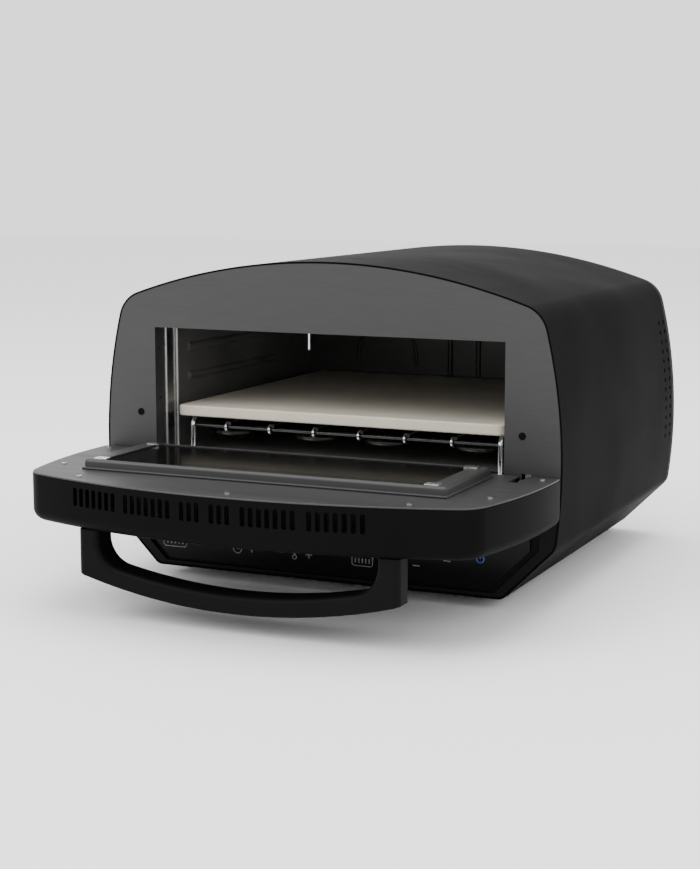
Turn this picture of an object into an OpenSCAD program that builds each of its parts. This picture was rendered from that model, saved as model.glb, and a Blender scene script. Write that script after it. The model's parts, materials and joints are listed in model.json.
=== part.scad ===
// Countertop pizza oven with a drop-down window door, touch panel and baking stone.
// Lengths are in millimetres. +Z is up, +Y runs from the doorway to the back.
// Pieces are drawn about the sill: y = 0 is the front of the fascia and z = 0 is the
// inner face of the lowered door. place() then stands the oven on the counter.

/* [Body] */
// Overall width of the body at its widest
body_w = 444; // [400:2:540]
// Depth of the body from fascia to back
body_d = 385; // [360:1:470]
// Height of the crown above the lowered door
crown_h = 175.5; // [165:0.5:212]
// Height of the base below the lowered door
base_h = 110; // [100:1:132]
// Radius of the crowned top
crown_r = 573; // [480:1:700]
// Radius of the bowed sides
side_r = 480; // [400:1:600]
// Radius of the upper corners
corner_r = 29; // [20:1:36]
// Radius where the side turns into the lower chamfer
low_r = 16; // [10:1:20]
// Width of the flat bottom between the chamfers
flat_w = 340; // [310:2:350]
// Sheet thickness of the outer wrap
wrap_t = 1.5; // [1:0.1:2]
// Depth of the rear cap's rim
cap_d = 16; // [13:0.5:18]
// Radius of the rear cap's edge
cap_r = 5; // [3:0.5:5]

/* [Doorway and cavity] */
// Width of the doorway
mouth_w = 340; // [300:1:350]
// Height of the doorway's top edge
mouth_top = 112; // [108:1:118]
// Depth of the doorway's return flange
jamb_d = 16; // [12:1:18]
// Inside depth of the cavity behind the fascia
cavity_d = 351; // [345:1:355]
// Inside height of the cavity's ceiling
cavity_top = 128; // [126:1:129]
// Height of the cavity floor
floor_z = -6; // [-8:0.5:-4]

/* [Baking stone and rack] */
// Width of the stone
stone_w = 322; // [290:1:325]
// Depth of the stone
stone_d = 318; // [280:1:320]
// Thickness of the stone
stone_t = 10; // [8:0.5:15]
// Top of the stone's support rails
rail_z = 27.8; // [27:0.1:30]
// Wire diameter of the rack's side frames
rail_wire = 5; // [4:0.5:6]
// Spacing of the rack's long wires
wire_pitch = 45; // [40:1:46]

/* [Door] */
// Thickness of the door
door_t = 42; // [36:1:50]
// Gap between the closed door and the fascia
door_gap = 3; // [2.5:0.1:4]
// Offset that sets where the door hinges
hinge_off = 19.5; // [18:0.5:22]
// Radius of the door's outer edge
door_edge_r = 10; // [6:1:12]
// Sheet thickness of the door shell
shell_t = 2.5; // [2:0.1:3]
// Width of the raised window frame
frame_w = 334; // [290:1:336]
// Height of the raised window frame up the door
frame_h = 104; // [90:1:106]
// Stand of the raised window frame
frame_stand = 9; // [7:0.5:10]
// Side rim width of the window frame
frame_rim = 16; // [12:1:20]
// Distance of the hinges from the middle
hinge_x = 190; // [186:1:192]
// Hinge pin diameter
pin_d = 5; // [4:0.5:6]
// Running clearance round each turning pin
pin_gap = 0.05; // [0.02:0.01:0.1]

/* [Handle] */
// Width of the handle
handle_w = 292; // [240:2:300]
// Width of the handle's bar up the door
handle_d = 23; // [18:1:26]
// Height of the handle's upper edge when the door is closed
handle_up = 152.5; // [148:0.5:156]
// Reach of the handle's bow from the door
handle_reach = 58.5; // [46:0.5:62]
// Rise of the bow between its ends and middle
handle_bow = 20.5; // [12:0.5:24]
// Thickness of the bar
handle_t = 15.5; // [11:0.5:17]

/* [Feet and fan] */
// Height of the rubber feet
foot_h = 9; // [6:0.5:14]
// Radius of the rubber feet
foot_r = 13; // [10:0.5:15]
// Size of the square cooling fan
fan_w = 80; // [70:1:82]

/* [Hidden] */
$fn = 48;

back_y = body_d;
lip_y = -0.4;
sill_to_counter = base_h + foot_h;
door_low = -hinge_off + 5;
y_mid = (back_y - hinge_off - crown_h) / 2;
pivot_y = -(hinge_off + door_gap) / 2;
pivot_z = -(hinge_off - door_gap) / 2;

// Outline of the body: centres of its arcs, for the right half.
zt = crown_h - crown_r;
xs = body_w / 2 - side_r;
zs = 5;
bot_r = 9;
k = sqrt(0.5);
c0 = k * (flat_w / 2 + base_h);
function meet(a, ra, b, rb) =
  let (d = norm(b - a))
  let (u = (b - a) / d)
  let (m = (ra * ra - rb * rb + d * d) / (2 * d))
  let (h = sqrt(ra * ra - m * m))
  a + m * u + h * [-u[1], u[0]];
c1 = meet([xs, zs], side_r - corner_r, [0, zt], crown_r - corner_r);
c1a = (c1[1] > 0) ? c1 : meet([0, zt], crown_r - corner_r, [xs, zs], side_r - corner_r);
m2 = c0 - low_r - k * (xs - zs);
h2 = sqrt((side_r - low_r) * (side_r - low_r) - m2 * m2);
c2 = [xs + m2 * k + h2 * k, zs - m2 * k + h2 * k];
c3 = [(c0 - bot_r) / k - base_h + bot_r, -base_h + bot_r];
a1 = atan2(c1a[1] - zt, c1a[0]);
a2 = atan2(c1a[1] - zs, c1a[0] - xs);
a3 = atan2(c2[1] - zs, c2[0] - xs);

function arc(c, r, from, to, n) =
  [for (i = [0:n]) c + r * [cos(from + (to - from) * i / n), sin(from + (to - from) * i / n)]];
function tail(p, s) = [for (i = [s:len(p) - 1]) p[i]];
function flip(p) = [for (i = [len(p) - 1:-1:0]) [-p[i][0], p[i][1]]];
function upper_half(t) =
  concat(arc([0, zt], crown_r - t, 90, a1, 14), tail(arc(c1a, corner_r - t, a1, a2, 8), 1));
function body_half(t) =
  concat(upper_half(t), tail(arc([xs, zs], side_r - t, a2, a3, 12), 1),
         tail(arc(c2, low_r - t, a3, -45, 5), 1), arc(c3, bot_r - t, -45, -90, 3));
function body_line(t) =
  concat(body_half(t), [for (q = flip(body_half(t))) if (q[0] < -0.001) q]);
function low_angle(t) = asin((door_low + t - zs) / (side_r - t));
function door_half(t) =
  concat(upper_half(t), tail(arc([xs, zs], side_r - t, a2, low_angle(t), 9), 1));
function door_line(t) =
  concat(door_half(t), [for (q = flip(door_half(t))) if (q[0] < -0.001) q]);
function lowered(p) = [for (q = p) [q[0], -hinge_off - q[1]]];
function side_x(z, t) = xs + sqrt((side_r - t) * (side_r - t) - (z - zs) * (z - zs));

function slope_x(z, t) = z + base_h + flat_w / 2 - t * sqrt(2);

module place() {
  translate([0, -y_mid, sill_to_counter])
    children();
}

module both() {
  children();
  mirror([1, 0, 0])
    children();
}

// A slab with the body's outline, drawn in by t, between two depths and two heights.
module body_slab(t, y0, y1, z0, z1) {
  intersection() {
    translate([0, y1, 0])
      rotate([90, 0, 0])
        linear_extrude(height = y1 - y0)
          polygon(body_line(t));
    translate([-body_w, y0 - 1, z0])
      cube([2 * body_w, y1 - y0 + 2, z1 - z0]);
  }
}

// A slab with the lowered door's outline, drawn in by t, between two heights.
module door_slab(t, z0, z1) {
  translate([0, 0, z0])
    linear_extrude(height = z1 - z0)
      polygon(lowered(door_line(t)));
}

// The door's outer form: its outer edge is rounded with radius r.
module door_form(t, z_out, r) {
  hull() {
    door_slab(t, z_out + r, -1.6);
    for (i = [1:4])
      door_slab(t + r * (1 - cos(i * 22.5)), z_out + r - r * sin(i * 22.5), z_out + r);
  }
}

module box(x0, x1, y0, y1, z0, z1) {
  translate([x0, y0, z0])
    cube([x1 - x0, y1 - y0, z1 - z0]);
}

module rod_x(x0, x1, y, z, r) {
  translate([x0, y, z])
    rotate([0, 90, 0])
      cylinder(h = x1 - x0, r = r);
}

module rod_y(x, y0, y1, z, r) {
  translate([x, y1, z])
    rotate([90, 0, 0])
      cylinder(h = y1 - y0, r = r);
}

module rod_z(x, y, z0, z1, r) {
  translate([x, y, z0])
    cylinder(h = z1 - z0, r = r);
}

// A pan-head screw at the origin: its shank points down and its head stands up.
module screw(shank_d, length, head_d, head_h) {
  translate([0, 0, -length])
    cylinder(h = length, d = shank_d, $fn = 24);
  difference() {
    cylinder(h = head_h, d = head_d, $fn = 24);
    for (a = [0, 90])
      rotate([0, 0, a])
        translate([-head_d * 0.3, -head_d * 0.06, head_h * 0.5])
          cube([head_d * 0.6, head_d * 0.12, head_h]);
  }
}

// A half ring of rod in the plane of the cavity floor, open towards the back.
module rod_bend(x, y, z, bend_r, r, back) {
  translate([x, y, z])
    rotate([0, 0, back ? 0 : 180])
      rotate_extrude(angle = 180)
        translate([bend_r, 0])
          circle(r = r, $fn = 24);
}

/* Body shell */

perf_rows = 13;
perf_pitch = 9.5;
perf_d = 4.6;
perf_z = -12;
perf_y = [back_y - 41, back_y - 24];

module outer_wrap() {
  color([0.13, 0.13, 0.14])
    place()
      difference() {
        body_slab(0, lip_y, back_y - cap_d - 0.3, -base_h - 1, crown_h + 1);
        body_slab(wrap_t, lip_y - 1, back_y, -base_h - 5, crown_h + 1);
        box(-flat_w / 2 + 14, flat_w / 2 - 14, lip_y - 1, back_y, -base_h - 2, -base_h + 4);
        for (y = perf_y)
          for (i = [0:perf_rows - 1])
            rod_x(-body_w, body_w, y, perf_z + i * perf_pitch, perf_d / 2);
      }
}

bumper_x = 186;
bumper_z = 33;
bumper_d = 6.5;
fascia_t = 1.5;
fascia_low = -18.5;
blade_t = 3;
slot_w = 8;

module front_fascia() {
  color([0.33, 0.33, 0.34])
    place()
      difference() {
        union() {
          body_slab(wrap_t + 0.2, 0, fascia_t, fascia_low, crown_h);
          box(-mouth_w / 2 - fascia_t, mouth_w / 2 + fascia_t, 0, jamb_d,
              floor_z - 1, mouth_top + fascia_t);
        }
        box(-mouth_w / 2, mouth_w / 2, -1, jamb_d + 1, floor_z, mouth_top);
        both()
          rod_y(bumper_x, -1, 3, bumper_z, bumper_d / 2);
        both()
          box(hinge_x - slot_w / 2, hinge_x + slot_w / 2, -1, 3, fascia_low - 1, 1);
        for (z = [46, 92])
          rod_x(-mouth_w / 2 - 5, mouth_w / 2 + 5, jamb_d / 2, z, 1.5);
      }
}

inlet_x = -140;
inlet_z = -66;
rear_t = 1.2;
rear_y = back_y - 2.2 - rear_t;
fan_x = 40;
fan_z = (-base_h + 1.5 - 23.5) / 2 + 1;
rear_screw_at = [[-180, 120], [180, 120], [-205, 20], [205, 20], [-205, -50], [205, -50], [0, 160]];

// The rear cap's form: the body's outline, drawn in by t, with its back edge rounded.
module cap_form(t, y0, y1, r) {
  hull() {
    body_slab(t, y0, y1 - r, -base_h - 1, crown_h + 1);
    for (i = [1:3])
      body_slab(t + r * (1 - cos(i * 30)), y0, y1 - r + r * sin(i * 30), -base_h - 1, crown_h + 1);
  }
}

module rear_panel() {
  color([0.16, 0.16, 0.17])
    place()
      difference() {
        cap_form(0, back_y - cap_d, rear_y + rear_t, cap_r);
        cap_form(rear_t, back_y - cap_d - 1, rear_y, cap_r - rear_t);
        for (p = foot_at)
          rod_z(p[0], p[1], -base_h - 2, -base_h + 3, foot_r - 5.95);
        for (r = [8:7:fan_w / 2 - 4])
          difference() {
            rod_y(fan_x, rear_y - 1, rear_y + 3, fan_z, r + 3.4);
            rod_y(fan_x, rear_y - 2, rear_y + 4, fan_z, r);
            for (a = [45, 135])
              translate([fan_x, rear_y, fan_z])
                rotate([0, a, 0])
                  translate([-fan_w, -3, -2.5])
                    cube([2 * fan_w, 8, 5]);
          }
        box(inlet_x - 14, inlet_x + 14, rear_y - 1, rear_y + 3, inlet_z - 10, inlet_z + 10);
        for (i = [-6:6])
          box(i * 20 - 6, i * 20 + 6, rear_y - 1, rear_y + 3, 132, 135.5);
        for (p = rear_screw_at)
          rod_y(p[0], rear_y - 1, rear_y + 3, p[1], 1.7);
      }
}

foot_at = [[-flat_w / 2 + 23, 52], [flat_w / 2 - 23, 52],
           [-flat_w / 2 + 23, back_y - 20], [flat_w / 2 - 23, back_y - 20]];

module base_pan() {
  color([0.14, 0.14, 0.15])
    place()
      difference() {
        box(-flat_w / 2 + 5, flat_w / 2 - 5, 7.2, back_y - cap_d + 4, -base_h + wrap_t + 0.1, -base_h + wrap_t + 1.5);
        for (x = [-90:15:90])
          for (y = [110, 190])
            box(x - 3, x + 3, y, y + 50, -base_h - 1, -base_h + 6);
        for (p = foot_at)
          rod_z(p[0], p[1], -base_h - 1, -base_h + 6, 2.1);
      }
}

/* Control panel */

glass_x = flat_w / 2 + 24;
glass_top = -28;
glass_low = -base_h + 7;
glass_c = c0 - 14;
bezel_x = glass_x + 8;
bezel_c = c0 - 8;

function chamfer_panel(x, top, low, c) =
  [[-x, top], [x, top], [x, x - c / k], [c / k + low, low], [-c / k - low, low], [-x, x - c / k]];

module front_plate(pts, y0, y1) {
  translate([0, y1, 0])
    rotate([90, 0, 0])
      linear_extrude(height = y1 - y0)
        polygon(pts);
}

module control_bezel() {
  color([0.11, 0.11, 0.12])
    place()
      difference() {
        body_slab(wrap_t + 0.2, 0.2, 7, -base_h, fascia_low - 0.5);
        front_plate(chamfer_panel(bezel_x, glass_top + 2.5, glass_low - 2, bezel_c), -1, 9);
      }
}

module panel_carrier() {
  color([0.05, 0.05, 0.05])
    place()
      difference() {
        front_plate(chamfer_panel(bezel_x - 0.2, glass_top + 2.3, glass_low - 1.8, bezel_c - 0.2), 4.2, 6.8);
        box(150, 156, 3, 8, -78, -72);
      }
}

module control_glass() {
  color([0.02, 0.02, 0.025])
    place()
      front_plate(chamfer_panel(glass_x, glass_top, glass_low, glass_c), 0.6, 4.1);
}

module touch_board() {
  color([0.05, 0.25, 0.12])
    place() {
      box(-160, 160, 7.4, 9, -92, -44);
      box(-30, 10, 9, 13, -74, -60);
      box(100, 130, 9, 17, -66, -56);
      rod_y(153, 4.6, 7.4, -75, 2.5);
    }
}

/* Electronics in the base */

board_z = -base_h + 15;

module power_board() {
  color([0.55, 0.42, 0.16])
    place() {
      difference() {
        box(-150, -10, 60, 170, board_z, board_z + 1.6);
        for (x = [-144, -16])
          for (y = [66, 164])
            rod_z(x, y, board_z - 1, board_z + 3, 1.7);
      }
      box(-140, -110, 80, 120, board_z + 1.6, board_z + 28);
      for (i = [0:2])
        box(-96 + i * 24, -78 + i * 24, 135, 158, board_z + 1.6, board_z + 18);
      rod_z(-40, 90, board_z + 1.6, board_z + 26, 9);
      rod_z(-64, 90, board_z + 1.6, board_z + 22, 7);
      box(-140, -112, 140, 150, board_z + 1.6, board_z + 13);
    }
}

module power_heatsink() {
  color([0.75, 0.76, 0.78])
    place() {
      box(10, 18, 70, 150, -base_h + 3.2, -40);
      for (i = [0:7])
        box(18, 46, 72 + i * 10.5, 74.5 + i * 10.5, -base_h + 3.2, -40);
    }
}

module board_standoffs() {
  color([0.9, 0.9, 0.88])
    place()
      for (x = [-144, -16])
        for (y = [66, 164])
          difference() {
            rod_z(x, y, -base_h + 3, board_z, 3.5);
            rod_z(x, y, board_z - 8, board_z + 1, 1.4);
          }
}

module terminal_block() {
  color([0.92, 0.9, 0.82])
    place()
      difference() {
        box(-100, -52, 335, 353, -base_h + 3, -base_h + 23);
        for (i = [0:3])
          rod_z(-94 + i * 12, 344, -base_h + 12, -base_h + 30, 3);
      }
}

module power_inlet() {
  color([0.06, 0.06, 0.06])
    place()
      difference() {
        union() {
          box(inlet_x - 13.8, inlet_x + 13.8, rear_y - 22, rear_y + rear_t + 0.4, inlet_z - 9.8, inlet_z + 9.8);
          box(inlet_x - 24, inlet_x + 24, rear_y + rear_t, back_y, inlet_z - 12, inlet_z + 12);
        }
        box(inlet_x - 11.8, inlet_x + 11.8, rear_y - 16, back_y + 5, inlet_z - 7.8, inlet_z + 7.8);
      }
  color([0.8, 0.78, 0.7])
    place()
      for (p = [[-6.5, -2.5], [0, 3], [6.5, -2.5]])
        box(inlet_x + p[0] - 1, inlet_x + p[0] + 1, rear_y - 16.1, rear_y - 2,
            inlet_z + p[1] - 2.5, inlet_z + p[1] + 2.5);
}

/* Wiring lies along the base and up to the elements */

module wire_run(x, y0, y1, z, z_end) {
  rod_y(x, y0, y1, z, wire_r);
  translate([x, y1, z])
    sphere(r = wire_r, $fn = 24);
  rod_z(x, y1, min(z, z_end), max(z, z_end), wire_r);
}

wire_r = 1.8;
riser_x = 155;
riser_y = cavity_d + 21;

module wiring_loom() {
  color([0.7, 0.2, 0.15])
    place()
      for (i = [0:3])
        wire_run(-94 + i * 12, 158.1, 344, board_z + 11, -base_h + 12.5);
  color([0.85, 0.83, 0.78])
    place()
      for (x = [-riser_x, riser_x])
        wire_run(x, 9.1, riser_y, -50, 90);
}

/* Feet */

module rubber_feet() {
  color([0.05, 0.05, 0.05])
    place()
      for (p = foot_at)
        translate([p[0], p[1], -sill_to_counter])
          difference() {
            union() {
              cylinder(h = foot_h, r1 = foot_r - 2, r2 = foot_r);
              cylinder(h = foot_h + wrap_t + 0.05, r = foot_r - 6);
            }
            translate([0, 0, -1])
              cylinder(h = foot_h * 0.5 + 1, r = 5);
            cylinder(h = foot_h + 5, r = 2.2);
          }
}

module foot_screws() {
  color([0.6, 0.6, 0.62])
    place()
      for (p = foot_at)
        translate([p[0], p[1], -sill_to_counter + foot_h * 0.5])
          rotate([180, 0, 0])
            screw(4, foot_h * 0.5 + 9, 8, 2.4);
}

/* Cavity */

deck_z = -22;

// The deck reaches the bowed side, or the slope where a wide body puts that in the way.
deck_half = min(side_x(deck_z - 1.5, wrap_t), slope_x(deck_z - 1.5, wrap_t)) - 0.6;

module divider_deck() {
  color([0.62, 0.63, 0.65])
    place()
      difference() {
        box(-deck_half, deck_half,
            8, back_y - cap_d + 4, deck_z - 1.5, deck_z);
        both()
          rod_z(riser_x, riser_y, deck_z - 3, deck_z + 3, 4);
        for (x = [-200, 200])
          for (y = [80:40:320])
            box(x - 4, x + 4, y, y + 22, deck_z - 3, deck_z + 3);
      }
}

liner_x = mouth_w / 2 + 4;
liner_t = 1;
trim_d = 39;
rib_z = [60, 88];

module cavity_liner() {
  color([0.42, 0.42, 0.42])
    place() {
      difference() {
        box(-liner_x - liner_t, liner_x + liner_t, trim_d + 0.2, cavity_d,
            floor_z - liner_t, cavity_top + liner_t);
        box(-liner_x, liner_x, trim_d + 1.2, cavity_d + 1, floor_z, cavity_top);
        box(-mouth_w / 2, mouth_w / 2, trim_d - 1, trim_d + 3, floor_z, mouth_top);
        rod_z(-60, 150, cavity_top - 2, cavity_top + 4, 2.2);
        rod_z(probe_x, probe_y, cavity_top - 2, cavity_top + 4, probe_r + 0.05);
        for (x = hanger_x)
          for (y = hanger_y)
            rod_z(x, y, cavity_top - 2, cavity_top + 4, 1.7);
      }
      for (z = rib_z)
        both()
          intersection() {
            rod_y(liner_x + 1, 68, 250, z, 4);
            box(liner_x - 5, liner_x + liner_t, 60, 260, z - 6, z + 6);
          }
    }
}

module jamb_trim() {
  color([0.72, 0.73, 0.74])
    place()
      difference() {
        box(-mouth_w / 2 - 1, mouth_w / 2 + 1, jamb_d + 0.1, trim_d, floor_z - 1, mouth_top + 1);
        box(-mouth_w / 2, mouth_w / 2, jamb_d - 1, trim_d + 1, floor_z, mouth_top);
      }
}

term_x = [13, 146];
probe_x = -65.7;
probe_y = 110;
probe_end = 86;
probe_r = 1.5;
lower_z = 10.5;
upper_z = 119;

module cavity_back() {
  color([0.3, 0.3, 0.3])
    place() {
      difference() {
        union() {
          box(-liner_x - liner_t, liner_x + liner_t, cavity_d + 0.1, cavity_d + 1.3,
              floor_z - liner_t, cavity_top + liner_t);
          for (x = [-15, 17])
            intersection() {
              rod_z(x, cavity_d + 1, floor_z + 8, cavity_top - 14, 3);
              box(x - 5, x + 5, cavity_d - 4, cavity_d + 0.6, floor_z, cavity_top);
            }
        }
        both()
          for (x = term_x)
            for (z = [lower_z, upper_z])
              rod_y(x, cavity_d - 6, cavity_d + 3, z, 4.2);
      }
      translate([-88, cavity_d + 0.5, 56])
        rotate([90, 0, 0])
          difference() {
            intersection() {
              rotate_extrude()
                translate([34, 0])
                  circle(r = 2, $fn = 24);
              translate([-40, -40, 0])
                cube([80, 80, 5]);
            }
            translate([-40, -40, -1])
              cube([80, 30, 8]);
          }
    }
}

ins_t = 14;

module insulation_wrap() {
  color([0.87, 0.85, 0.78])
    place()
      difference() {
        union() {
          box(-liner_x - 1.4 - ins_t, liner_x + 1.4 + ins_t, trim_d + 1, cavity_d + 1.3,
              floor_z - liner_t, cavity_top - 6);
          box(-liner_x - 2, liner_x + 2, trim_d + 1, cavity_d + 1.3, cavity_top - 7, cavity_top + 1.4 + ins_t);
        }
        box(-liner_x - 1.4, liner_x + 1.4, trim_d, cavity_d + 2, floor_z - 2, cavity_top + 1.4);
        rod_z(-60, 150, cavity_top - 2, cavity_top + 30, 13);
        rod_z(probe_x, probe_y, cavity_top - 2, cavity_top + 30, 8);
      }
}

module insulation_floor() {
  color([0.87, 0.85, 0.78])
    place()
      box(-liner_x, liner_x, trim_d + 1, cavity_d + 1.3, deck_z + 0.2, floor_z - liner_t - 0.2);
}

module insulation_rear() {
  color([0.87, 0.85, 0.78])
    place()
      difference() {
        box(-150, 150, cavity_d + 1.5, cavity_d + 13, floor_z + 8, cavity_top - 4);
        both()
          for (x = term_x)
            for (z = [lower_z, upper_z])
              rod_y(x, cavity_d - 1, cavity_d + 16, z, 6.5);
      }
}

/* Heating elements: each half is one rod that runs forward and back twice */

elem_r = 3.25;
elem_front = 72;
elem_rear = 300;

module element_half(z) {
  r1 = 22;
  xa = term_x[0];
  xb = xa + 2 * r1;
  xd = term_x[1];
  xc = xd - 2 * r1;
  rm = (xc - xb) / 2;
  rod_y(xa, elem_front, cavity_d + 14, z, elem_r);
  rod_bend(xa + r1, elem_front, z, r1, elem_r, false);
  rod_y(xb, elem_front, elem_rear, z, elem_r);
  rod_bend(xb + rm, elem_rear, z, rm, elem_r, true);
  rod_y(xc, elem_front, elem_rear, z, elem_r);
  rod_bend(xc + r1, elem_front, z, r1, elem_r, false);
  rod_y(xd, elem_front, cavity_d + 14, z, elem_r);
}

module upper_element() {
  color([0.35, 0.33, 0.32])
    place()
      both()
        element_half(upper_z);
}

module lower_element() {
  color([0.35, 0.33, 0.32])
    place()
      both()
        element_half(lower_z);
}

hanger_x = [-79.5, 79.5];
hanger_y = [120, 250];

module element_hangers() {
  color([0.85, 0.86, 0.87])
    place()
      for (x = hanger_x)
        for (y = hanger_y) {
          rod_z(x, y, upper_z - 6.5, cavity_top + liner_t + 0.3, 1.5);
          rod_x(x - 27.5, x + 27.5, y, upper_z - elem_r - 1.6, 1.5);
        }
}

module element_terminals() {
  color([0.93, 0.91, 0.86])
    place()
      both()
        for (x = term_x)
          for (z = [lower_z, upper_z])
            difference() {
              rod_y(x, cavity_d + 1.4, cavity_d + 12, z, 6);
              rod_y(x, cavity_d, cavity_d + 14, z, elem_r + 0.05);
            }
}

module temp_probe() {
  color([0.8, 0.8, 0.8])
    place() {
      rod_z(probe_x, probe_y, probe_end, cavity_top + liner_t + 7, probe_r);
      rod_z(probe_x, probe_y, cavity_top + liner_t + 0.05, cavity_top + liner_t + 4, 6);
      translate([probe_x, probe_y, probe_end])
        sphere(r = probe_r, $fn = 24);
    }
}

module thermal_cutout() {
  color([0.85, 0.82, 0.75])
    place() {
      rod_z(-60, 150, cavity_top + 1.1, cavity_top + 9, 8);
      box(-72, -48, 147, 153, cavity_top + 9, cavity_top + 10.5);
    }
}

/* Baking stone and its wire rack */

stone_y = 23.4;
rack_x = stone_w / 2 - 8;
rod_yf = stone_y + 16;
rod_yb = stone_y + stone_d - 34;
long_r = 1.75;
cross_z = lower_z + elem_r + rail_wire / 2 + 1.5;
long_z = cross_z + rail_wire / 2 + long_r;

module side_frame() {
  r = rail_wire / 2;
  yb = stone_y + stone_d + 1.5;
  bend = 8;
  rod_y(rack_x, rod_yf + bend, yb - bend, rail_z - r, r);
  for (e = [[rod_yf, 1], [yb, -1]]) {
    rod_z(rack_x, e[0], floor_z + 0.1, rail_z - r - bend, r);
    translate([rack_x, e[0] + e[1] * bend, rail_z - r - bend])
      rotate([0, -90, 0])
        rotate([0, 0, e[1] > 0 ? -90 : 0])
          rotate_extrude(angle = 90)
            translate([bend, 0])
              circle(r = r, $fn = 24);
  }
  rod_z(rack_x, rod_yb, cross_z, rail_z - r, r * 0.8);
}

module stone_rack() {
  color([0.83, 0.84, 0.85])
    place() {
      both()
        side_frame();
      for (y = [rod_yf, rod_yb])
        rod_x(-rack_x, rack_x, y, cross_z, rail_wire / 2);
      for (i = [-2.5:1:2.5])
        rod_y(i * wire_pitch, rod_yf - 4, stone_y + stone_d - 6, long_z - 0.15, long_r);
      for (i = [-2.5:1:2.5])
        translate([i * wire_pitch - 4.4, rod_yf, cross_z])
          rotate([0, 90, 0])
            rotate_extrude()
              translate([rail_wire / 2 + long_r - 0.2, 0])
                circle(r = long_r, $fn = 24);
    }
}

module pizza_stone() {
  color([0.78, 0.73, 0.64])
    place()
      translate([0, stone_y + stone_d / 2, rail_z + 0.1])
        hull()
          for (q = [[0, 1.5], [1.5, 0], [stone_t - 1.5, 0], [stone_t, 1.5]])
            for (sx = [-1, 1])
              for (sy = [-1, 1])
                translate([sx * (stone_w / 2 - 6), sy * (stone_d / 2 - 6), q[0]])
                  cylinder(h = 0.01, r = 6 - q[1], $fn = 24);
}

/* Cooling fan */

fan_y1 = rear_y - 0.2;
fan_y0 = fan_y1 - 25;

module fan_frame() {
  color([0.07, 0.07, 0.07])
    place()
      difference() {
        box(fan_x - fan_w / 2, fan_x + fan_w / 2, fan_y0, fan_y1, fan_z - fan_w / 2, fan_z + fan_w / 2);
        rod_y(fan_x, fan_y0 - 1, fan_y1 + 1, fan_z, fan_w / 2 - 2);
        for (sx = [-1, 1])
          for (sz = [-1, 1])
            rod_y(fan_x + sx * (fan_w / 2 - 4.5), fan_y0 - 1, fan_y1 + 1,
                  fan_z + sz * (fan_w / 2 - 4.5), 2.2);
      }
}

module fan_motor() {
  color([0.1, 0.1, 0.1])
    place()
      difference() {
        union() {
          rod_y(fan_x, fan_y1 - 7, fan_y1 - 0.5, fan_z, 15);
          intersection() {
            translate([fan_x, fan_y1 - 2, fan_z])
              for (a = [20:90:290])
                rotate([0, a, 0])
                  translate([10, -1.5, -1.5])
                    cube([fan_w, 3, 3]);
            rod_y(fan_x, fan_y1 - 8, fan_y1, fan_z, fan_w / 2 - 2.05);
          }
        }
        rod_y(fan_x, fan_y1 - 8, fan_y1 - 2, fan_z, 1.5 + pin_gap);
      }
}

module fan_impeller() {
  color([0.2, 0.2, 0.2])
    place() {
      rod_y(fan_x, fan_y0 + 3, fan_y1 - 8, fan_z, 15.5);
      rod_y(fan_x, fan_y1 - 8.5, fan_y1 - 2.4, fan_z, 1.5);
      intersection() {
        translate([fan_x, (fan_y0 + fan_y1) / 2 - 2.6, fan_z])
          for (i = [0:6])
            rotate([0, i * 360 / 7, 0])
              translate([13, 0, 0])
                rotate([38, 0, 0])
                  translate([0, -0.8, -10])
                    cube([fan_w / 2, 1.6, 20]);
        rod_y(fan_x, fan_y0 + 2, fan_y1 - 8, fan_z, fan_w / 2 - 3.5);
      }
    }
}

module fan_screws() {
  color([0.6, 0.6, 0.62])
    place()
      for (sx = [-1, 1])
        for (sz = [-1, 1])
          translate([fan_x + sx * (fan_w / 2 - 4.5), fan_y0, fan_z + sz * (fan_w / 2 - 4.5)])
            rotate([90, 0, 0])
              screw(3.6, 23, 7, 2);
}

/* Hinges */

module hinge_blades() {
  color([0.7, 0.71, 0.72])
    place()
      both()
        difference() {
          union() {
            rod_x(hinge_x - blade_t / 2, hinge_x + blade_t / 2, pivot_y, pivot_z, 6);
            box(hinge_x - blade_t / 2, hinge_x + blade_t / 2, pivot_y, 34, pivot_z - 5, pivot_z + 5);
            box(hinge_x - blade_t / 2, hinge_x + blade_t / 2, fascia_t + 0.1, 34, pivot_z - 5, 24);
            box(hinge_x, hinge_x + 14, fascia_t + 0.1, fascia_t + 3, pivot_z - 5, 24);
          }
          rod_x(hinge_x - 5, hinge_x + 5, pivot_y, pivot_z, pin_d / 2 + pin_gap);
          for (z = [0, 16])
            rod_y(hinge_x + 8, fascia_t - 1, fascia_t + 8, z, 1.7);
        }
}

module hinge_screws() {
  color([0.6, 0.6, 0.62])
    place()
      both()
        for (z = [0, 16])
          translate([hinge_x + 8, fascia_t + 3.05, z])
            rotate([-90, 0, 0])
              screw(3.2, 2.9, 6.4, 2);
}

module fascia_bumpers() {
  color([0.03, 0.03, 0.03])
    place()
      both() {
        rod_y(bumper_x, -0.6, fascia_t + 2, bumper_z, bumper_d / 2 - 0.1);
        rod_y(bumper_x, fascia_t + 0.1, fascia_t + 2, bumper_z, bumper_d / 2 + 1);
      }
}

module rear_screws() {
  color([0.1, 0.1, 0.1])
    place()
      for (p = rear_screw_at)
        translate([p[0], rear_y + rear_t, p[1]])
          rotate([-90, 0, 0])
            screw(3.2, 8, 6.5, 1.6);
}

/* Door */

vent_groups = [7, 7, 3, 3, 7, 7];
vent_pitch = 7.05;
vent_w = 4.2;
vent_gap = 9.2;
vent_shift = -12.3;
vent_top = -6.5;
vent_low = -22;
function vent_len(n) = (n - 1) * vent_pitch + vent_w;
function vent_start(g) = (g == 0) ? 0 : vent_start(g - 1) + vent_len(vent_groups[g - 1]) + vent_gap;
vent_all = vent_start(5) + vent_len(vent_groups[5]);

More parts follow.
